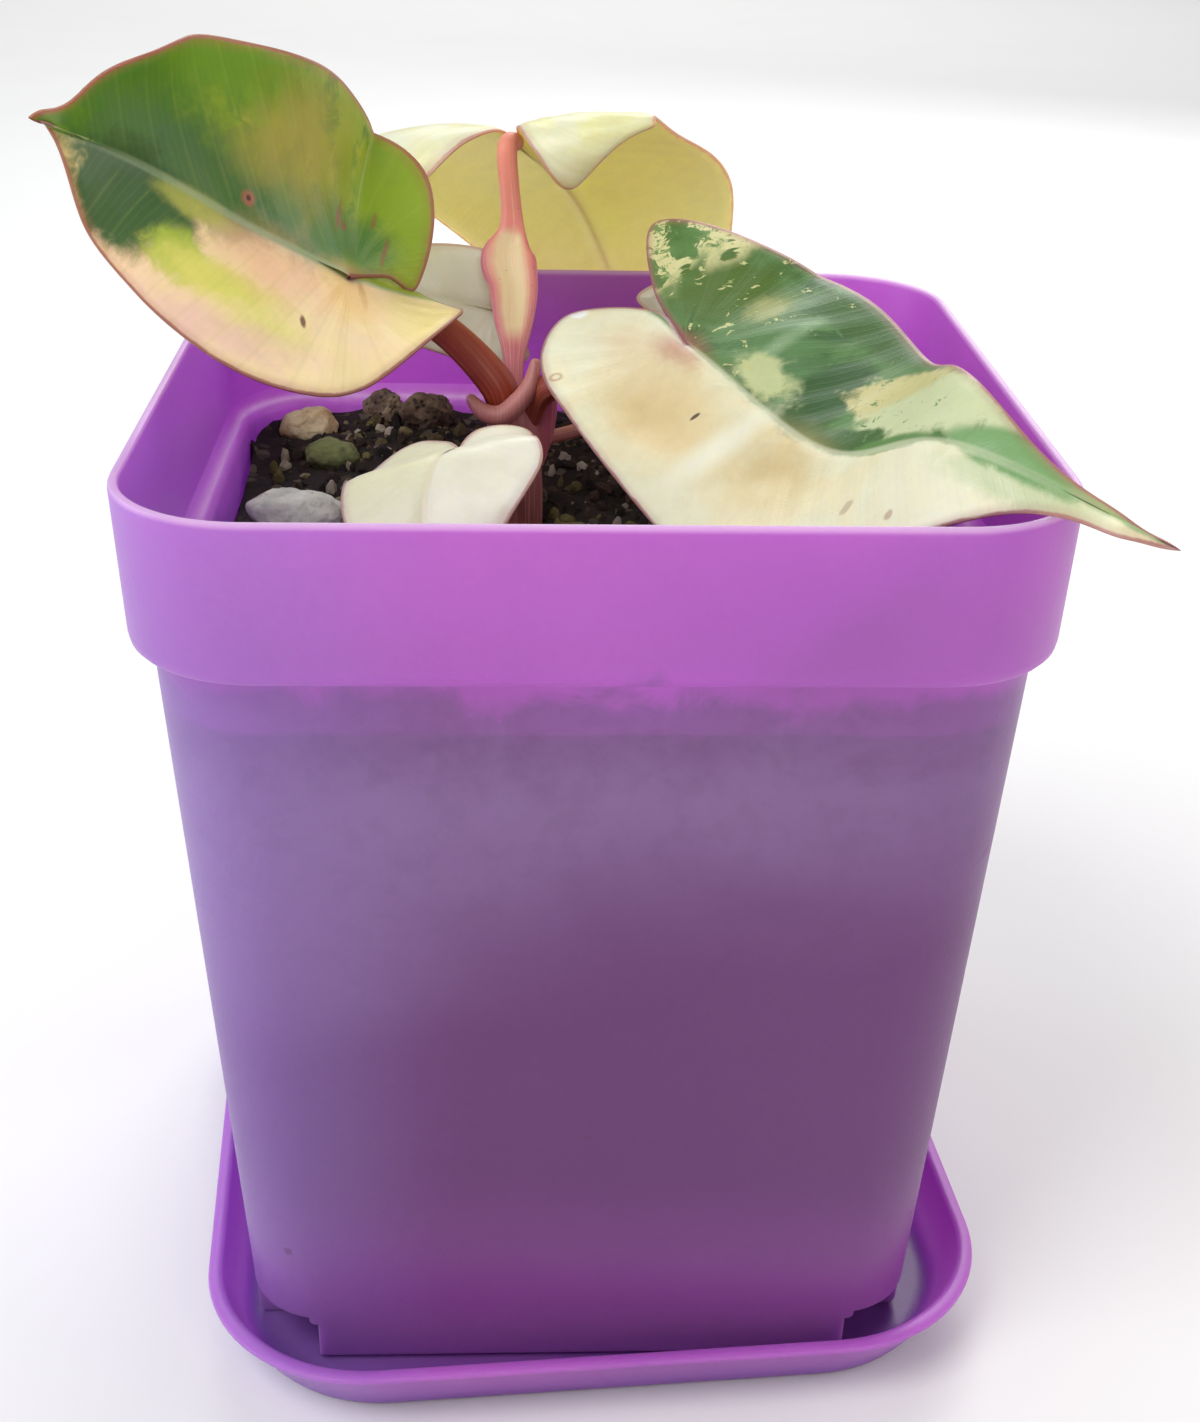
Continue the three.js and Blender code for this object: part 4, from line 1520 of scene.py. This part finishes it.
GREEN_AND_SALMON = LeafFinish(
    "green_and_salmon", "78a01a", "ffd9b4", "93aa20", "fbe0a4", "a9b64a", "a9bd52", "96504e", "9db58e",
    tuple(Patch(*row) for row in (
        (0.8, 8, 0.3, 11, "3f7d1c", 0.8, 0.5), (0.55, 17, 0.28, 6, "649616", 0.8, 0.6),
        (0.45, 2.5, 0.34, 5, "356a2e", 0.9, 0.6, 0.9), (0.12, 4, 0.16, 5, "4a7d40", 0.9, 0.5, 0.8),
        (0.7, 2, 0.14, 5, "4f8050", 1.1, 0.6, 0.6), (0.7, -3.6, 0.2, 6.2, "36632e", 0.9, 0.25),
        (0.54, -7.9, 0.08, 2.9, "a6bd45", 1.2, 0.4), (0.5, -1.2, 0.1, 1.6, "b9bd58", 1.3, 0.5, 0.8),
        (0.42, -9, 0.16, 2.4, "e0da70", 1.3, 0.6), (0.3, -13.5, 0.12, 3.0, "e6de80", 1.2, 0.5, 0.8),
        (0.2, 13, 0.16, 7, "9c9a26", 1.0, 0.7, 0.6), (0.25, 12, 0.1, 5, "b5a24c", 1.2, 0.7, 0.4),
        (0.37, 8, 0.07, 3.5, "a89c4a", 1.2, 0.7, 0.4), (-0.12, 12, 0.14, 6, "8cae1c", 0.8, 0.5, 0.9),
        (-0.02, 5.5, 0.1, 3, "4a7d34", 1.0, 0.6, 0.7), (0.36, 2.9, 0.018, 0.75, "a5644c", 0.6, 0.6),
        (0.36, 2.9, 0.007, 0.32, "4a2a22", 0.3, 0.4), (0.07, 7.4, 0.006, 1.9, "8d5636", 1.6, 0.5, 0.75),
        (0.045, 6.3, 0.014, 0.5, "8d5636", 1.4, 0.5, 0.7), (-0.09, 5.2, 0.007, 1.9, "8d5636", 1.6, 0.5, 0.7),
        (-0.045, 8.6, 0.006, 1.2, "93603c", 1.5, 0.5, 0.6), (0.19, -10.6, 0.009, 0.9, "7a4f3c", 0.8, 0.4),
        (-0.03, -2.6, 0.01, 2.6, "94563a", 0.8, 0.5, 0.8), (-0.2, -8, 0.12, 7, "f6dd84", 0.8, 0.6, 0.8),
        (0.02, -4, 0.1, 4, "fbc878", 0.8, 0.8, 0.8), (0.26, -4, 0.13, 4, "ffbf9c", 0.9, 0.8, 0.6),
        (0.5, -15.5, 0.3, 2.5, "f3c4b8", 0.8, 0.7, 0.7))),
    (Marble(Half.RIGHT, "4e8524", 8, 0.5, 0.62, -0.1, 1.2),
     Marble(Half.RIGHT, "aab33a", 6, 0.56, 0.7, 0.0, 0.6)),
    edge_width=0.34, vein_share=0.13)
CREAM_AND_MARBLED = LeafFinish(
    "cream_and_marbled", "f1e6bc", "426e2e", "eceac8", "5a8546", "d9d8a0", "b9cfa4", "a2646c", "e3e6c4",
    tuple(Patch(*row) for row in (
        (-0.05, -9, 0.13, 6, "4c6c18", 0.9, 0.4), (0.1, -6, 0.1, 5, "5f8a54", 0.8, 0.6, 0.7),
        (0.11, -7, 0.012, 6, "a3c096", 1.2, 0.8, 0.5), (0.2, -16.5, 0.2, 2.6, "3f6628", 0.8, 0.4),
        (0.25, -6.5, 0.055, 6.5, "2f5a24", 0.5, 0.25), (0.14, -3.2, 0.06, 2.2, "c4cd94", 1.5, 0.4),
        (0.02, -10.5, 0.03, 3, "a8a95e", 1.6, 0.5, 0.7), (0.42, -8.8, 0.14, 4.3, "cdc68a", 0.8, 0.14),
        (0.54, -5.2, 0.19, 4.2, "cdd6a8", 0.8, 0.2), (0.38, -1.6, 0.1, 2.0, "3a6430", 0.9, 0.2),
        (0.5, -0.4, 0.1, 1.1, "5d8a4c", 0.9, 0.3), (0.78, 1.8, 0.13, 2.2, "c6d3a8", 0.9, 0.5, 0.85),
        (0.76, -1.0, 0.1, 2.2, "79a567", 0.7, 0.25), (0.93, -0.5, 0.07, 0.7, "9bbf80", 0.7, 0.4),
        # The warm tan patches at shares 0.1 and 0.3 on the cream half are painted shade in the two hollows;
        # the thin pale strip at share 0.2 between them is a painted highlight on the ridge.
        (0.1, 9, 0.1, 6.2, "e6cd96", 0.5, 0.95, 0.9), (0.09, 9.6, 0.05, 3.4, "dcc08a", 0.7, 0.95, 0.6),
        (0.3, 5, 0.075, 4.6, "d8c088", 0.5, 0.95, 0.95), (0.2, 7.6, 0.02, 7, "f6f3d6", 0.8, 0.8, 0.9),
        (-0.05, 5, 0.08, 3.5, "e6cda2", 0.8, 0.9, 0.8), (0.0, 1, 0.045, 2.2, "b8705c", 0.7, 0.9, 0.7),
        (-0.06, 15, 0.011, 0.8, "cbb083", 0.3, 0.3), (-0.06, 15, 0.006, 0.45, "e9dfc0", 0.3, 0.3),
        (-0.2, 5.8, 0.018, 1.2, "fffffa", 0.6, 0.3), (0.62, 9.2, 0.006, 0.7, "c9b59a", 1.2, 0.3),
        (0.52, 8.6, 0.01, 1.0, "cdbfa0", 1.2, 0.3), (0.13, 6.2, 0.003, 0.7, "5a4a3a", 0.3, 0.3))),
    (Marble(Half.LEFT, "3a6330", 12, 0.53, 0.58, -0.1, 0.2),
     Marble(Half.LEFT, "7aa06a", 6, 0.58, 0.7, 0.1, 2)),
    (Marble(Half.LEFT, "dcd79c", 4.4, 0.45, 0.49, -2, -0.13),
     Marble(Half.LEFT, "c9cb8a", 2.4, 0.63, 0.66, -0.2, 0.12),
     Marble(Half.LEFT, "6a8f50", 1.5, 0.55, 0.6, -2, -0.15),
     Marble(Half.LEFT, "5d8a48", 1.6, 0.64, 0.68, 0.28, 0.6)),
    edge_width=0.3, vein_share=0.035)
# The yellow blade's underside tone (faf0b4 at a share of 0.8) is raised as painted light, standing in for
# light through the thin blade, on top of its paler underside.
BUTTER_YELLOW = LeafFinish(
    "butter_yellow", "f9eaa6", "f8ebb2", "fbf1c2", "fbf1c8", "faf0b4", "e6d98a", "c9847c", "cc8350",
    (Patch(0.42, 12, 0.24, 12, "f3e48c", 0.7, 0.9, 0.7), Patch(0.5, 3, 0.2, 5, "ead878", 0.8, 0.9, 0.7),
     Patch(0.3, -22, 0.3, 9, "eadb9c", 0.8, 0.8, 0.6)),
    vein_share=0.2, edge_width=0.36, clear=0.85, under_share=0.8)
PALE_CREAM = LeafFinish(
    "pale_cream", "dfdbb8", "e6e2c6", "e3e0bf", "ece8d2", "d8d6b4", "f4f2dc", "bd9088", "ddd2b2",
    vein_share=0.1, edge_width=0.28)
IVORY_LEFT = LeafFinish(
    "ivory_left", "e6e2ba", "e8e4c2", "eae6c8", "ece8d0", "d9d6b2", "f2f0d4", "cfa88c", "dcd9b0",
    vein_share=0.14, edge_width=0.3)
IVORY_RIGHT = LeafFinish(
    "ivory_right", "e8e4c0", "e9e5c8", "ebe7cc", "ece8d0", "d9d6b2", "f2f0d4", "cfa88c", "dcd9b0",
    vein_share=0.14, edge_width=0.3)

FLAT = ((5, 5, 5), (5, 5, 5), 1)
REAR_LEFT_HALF = HalfShape(0.2, (2, 5, 7, 7.5, 6, 3.5, 1.5), *FLAT)
REAR_RIGHT_HALF = HalfShape(0.2, (2, 4.5, 6, 6.5, 5.5, 3.5, 1.5), *FLAT)

LEAVES = (
    Leaf("left", ((-28.5, 8, 127), (-39, 0.5, 134.5), (-50.5, -4, 142.5), (-59.5, -12.5, 148.5)),
         (-0.16, 0.87, 0.47), (0.33, -0.11, 0.94),
         HalfShape(0.22, (2.5, 4, 17.5, 22, 17.5, 12.5, 4), (41, 11, 25), (32, 20, 20), 1.5),
         HalfShape(0.33, (-6.5, 4.5, 13, 21, 17.5, 10, 0.5), (36, -2, 20), (11, 3, 15), -1.7),
         Limb(((-9.5, 12, 106.5), (-11, 11, 113), (-18, 13.5, 119.5), (-23.5, 13, 121)),
              (2.2, 2.3, 2, 1.8, 1.6, 1.2), (2, 2.1, 1.9, 1.7, 1.4, 1)),
         GREEN_AND_SALMON, Slot.GREEN_LEAF, RED_STALK, Slot.RED_STALK, quilt=0.06, wave=0.3),
    Leaf("right", ((11.5, 0, 121.5), (25, -21.5, 116), (35.5, -38.5, 122.5), (55, -52.5, 117)),
         (-0.88, -0.36, -0.32), (-0.35, -0.68, -0.64),
         HalfShape(0.21, (-1, 7, 15.5, 18.5, 18.5, 4, 1.5), (-4, -2, -12), (10, 7, 0), 0.1),
         HalfShape(0.31, (3.5, 11, 16.5, 19.5, 12.5, 2.5, 0.6), (12, 2, 4), (12, 1, 9), 0.4),
         Limb(((-8, 11, 107.5), (-5.5, 9.5, 112.5), (-1, 7, 115), (6, 4, 117)),
              (1.8, 1.8, 1.6, 1.4, 1.3, 1), (1.7, 1.7, 1.5, 1.3, 1.2, 0.9)),
         CREAM_AND_MARBLED, Slot.MARBLED_LEAF,
         StalkFinish("red_stalk_two", "9a4431", "b4573f", "c97a5c"), Slot.RED_STALK,
         (Dimple(0.09, 10.2, 1.15, 4.6), Dimple(0.29, 4.8, 0.95, 3.6), Dimple(0.1, -9, -0.9, 4.6)),
         quilt=0.08, wave=0.2),
    Leaf("back", ((-8.5, 36, 138.5), (-0.5, 46, 129), (6, 55, 114.5), (15, 60.5, 95)),
         (0.84, -0.35, 0.41), (0.96, 0.12, 0.27),
         HalfShape(0.365, (5.5, 9.1, 20.8, 19.7, 20.4, 13.5, 3.5), (-15, 0, 21), (-14, -27, -16), 8.7),
         HalfShape(0.16, (3.5, 13, 20, 25, 16.5, 8.5, 3), (20, 34, -4), (-24, -26, -4), 12),
         Limb(((-9, 12, 109), (-8.9, 15, 114.5), (-8.9, 20, 119), (-9, 24, 122.3), (-9.7, 27, 125.2),
               (-9.2, 30, 129)),
              (1.4, 1.3, 2.6, 3.2, 3.5, 1.5, 1.3, 1.2), (1.3, 1.1, 1.1, 1.2, 1.2, 1.1, 1.2, 1.1),
              (0, -0.9, 0.4), 0.85),
         BUTTER_YELLOW, Slot.YELLOW_LEAF, PINK_STALK, Slot.PINK_STALK, quilt=0.07, wave=0.15),
    Leaf("front", ((-15, -18.5, 115), (-17.5, -23, 114.5), (-18.5, -29, 109.5), (-16.5, -34, 101.5)),
         (-0.94, 0.19, -0.28), (-0.98, -0.08, -0.17),
         HalfShape(0.26, (3, 8, 10.5, 11, 9.5, 6, 2), (2, -4, 4), (-5, -7, 0), 1),
         HalfShape(0.45, (-0.6, 2.7, 6.3, 10, 12.7, 7.2, 2.1), (-36, 1, 12), (8, -20, -4), 0.9),
         Limb(((-9, 9.5, 99), (-11, -4, 105)), THIN, THIN),
         PALE_CREAM, Slot.CREAM_LEAF, HIDDEN_STALK, Slot.PINK_STALK, quilt=0.04, wave=0.1),
    Leaf("rear_left", ((-11.5, 25.5, 118.5), (-20, 26, 120), (-29, 26.5, 120.5), (-37, 26.5, 119)),
         (0.1, 0.45, 0.88), (-0.1, 0.4, 0.9), REAR_LEFT_HALF, REAR_LEFT_HALF,
         Limb(((-9, 14, 104), (-9, 21, 111)), THIN, THIN),
         IVORY_LEFT, Slot.CREAM_LEAF, HIDDEN_STALK, Slot.PINK_STALK, quilt=0.04, wave=0.1),
    Leaf("rear_right", ((11, 22, 117.5), (18, 24, 118), (25, 27, 115.5), (32, 30, 111.5)),
         (-0.1, -0.45, -0.88), (-0.1, -0.4, -0.9), REAR_RIGHT_HALF, REAR_RIGHT_HALF,
         Limb(((-6.5, 12.5, 105), (2, 17, 107)), THIN, THIN),
         IVORY_RIGHT, Slot.CREAM_LEAF, HIDDEN_STALK, Slot.PINK_STALK, quilt=0.04, wave=0.1),
)


# Studio


@dataclass(frozen=True)
class Lamp:
    """A square soft light, with places and sizes in millimetres and its power in watts."""

    name: str
    at: tuple[float, float, float]
    size: float
    power: float
    colour: str
    aim: tuple[float, float, float] = (0, 0, 90)

    def build(self) -> None:
        """Makes the light and points it at its aim."""
        light = bpy.data.lights.new(self.name, "AREA")
        light.size, light.energy, light.color = self.size * MM, self.power, tint(self.colour)[:3]
        made = shown(bpy.data.objects.new(self.name, light))
        spot = Vector(self.at) * MM
        turn = (Vector(self.aim) * MM - spot).to_track_quat("-Z", "Y").to_matrix().to_4x4()
        made.matrix_world = Matrix.Translation(spot) @ turn


@dataclass
class Studio:
    """Camera, floor and soft light."""

    eye: tuple[float, float, float] = (-8.8, -219.8, 184.7)
    yaw: float = 2.9
    pitch: float = 26.93
    roll: float = 1.433
    lens: float = 48.21
    reach: float = 3000.0
    sky: str = "f4f6fa"
    sky_strength: float = 0.32
    lamps: tuple[Lamp, ...] = (
        Lamp("key", (-450, -350, 800), 500, 4.6, "ffffff"),
        Lamp("front", (250, -800, 350), 700, 2.2, "fff6f2"),
        Lamp("cool_side", (-800, 100, 250), 500, 2.2, "dfe6ff"),
        Lamp("back", (300, 700, 500), 500, 2.4, "ffffff"),
        Lamp("right_side", (750, 50, 380), 500, 1.5, "fff4f8"),
        Lamp("far_floor", (0, 1500, 1300), 1200, 16.0, "ffffff", (0, 1600, 0)))

    def camera(self) -> None:
        """Makes the camera at the photograph's angle."""
        yaw, pitch, roll = (math.radians(v) for v in (self.yaw, self.pitch, self.roll))
        level = Vector((math.cos(yaw), -math.sin(yaw), 0))
        ahead = Vector((math.sin(yaw), math.cos(yaw), 0))
        forward = ahead * math.cos(pitch) - Vector((0, 0, math.sin(pitch)))
        upright = level.cross(forward)
        right = level * math.cos(roll) + upright * math.sin(roll)
        up = upright * math.cos(roll) - level * math.sin(roll)
        lens = bpy.data.cameras.new("view")
        lens.lens, lens.sensor_width = self.lens, 36
        lens.clip_start, lens.clip_end = 0.01, 10
        made = shown(bpy.data.objects.new("view", lens))
        turn = Matrix((right, up, -forward)).transposed().to_4x4()
        made.matrix_world = Matrix.Translation(Vector(self.eye) * MM) @ turn
        bpy.context.scene.camera = made

    def floor(self) -> None:
        """Makes the pale floor."""
        corners = np.array([(-1, -1, 0), (1, -1, 0), (1, 1, 0), (-1, 1, 0)]) * self.reach
        plane = make_object("floor", corners, [[0, 1, 2, 3]])
        s = Shader("pale_floor", Roughness=0.7)
        s.feed("Base Color", s.mix(s.cloud(60, 3), "eeeeec", "f2f2f0"))
        plane.data.materials.append(s.material)

    def build(self) -> None:
        """Makes the studio."""
        scene = bpy.context.scene
        scene.view_settings.view_transform = "Standard"
        scene.view_settings.look = "None"
        world = bpy.data.worlds.new("studio")
        world.use_nodes = True
        sky = world.node_tree.nodes["Background"].inputs
        sky[0].default_value, sky[1].default_value = tint(self.sky), self.sky_strength
        scene.world = world
        self.camera()
        self.floor()
        for lamp in self.lamps:
            lamp.build()


def main() -> None:
    """Builds the plant, its pot and the studio."""
    logging.basicConfig(level=logging.INFO, format="%(name)s: %(message)s")
    Studio().build()
    plastic = PlasticFinish()
    Saucer().build(plastic)
    NurseryPot().build(plastic)
    PottingMix().build(EarthFinish())
    for stone in STONES:
        stone.build()
    Stem().build(StalkFinish("rosy_stem", "9a5a50", "c98078", "d59a8c", "e2b8a4"))
    for leaf in LEAVES:
        leaf.build()
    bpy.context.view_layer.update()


if __name__ == "__main__":
    main()
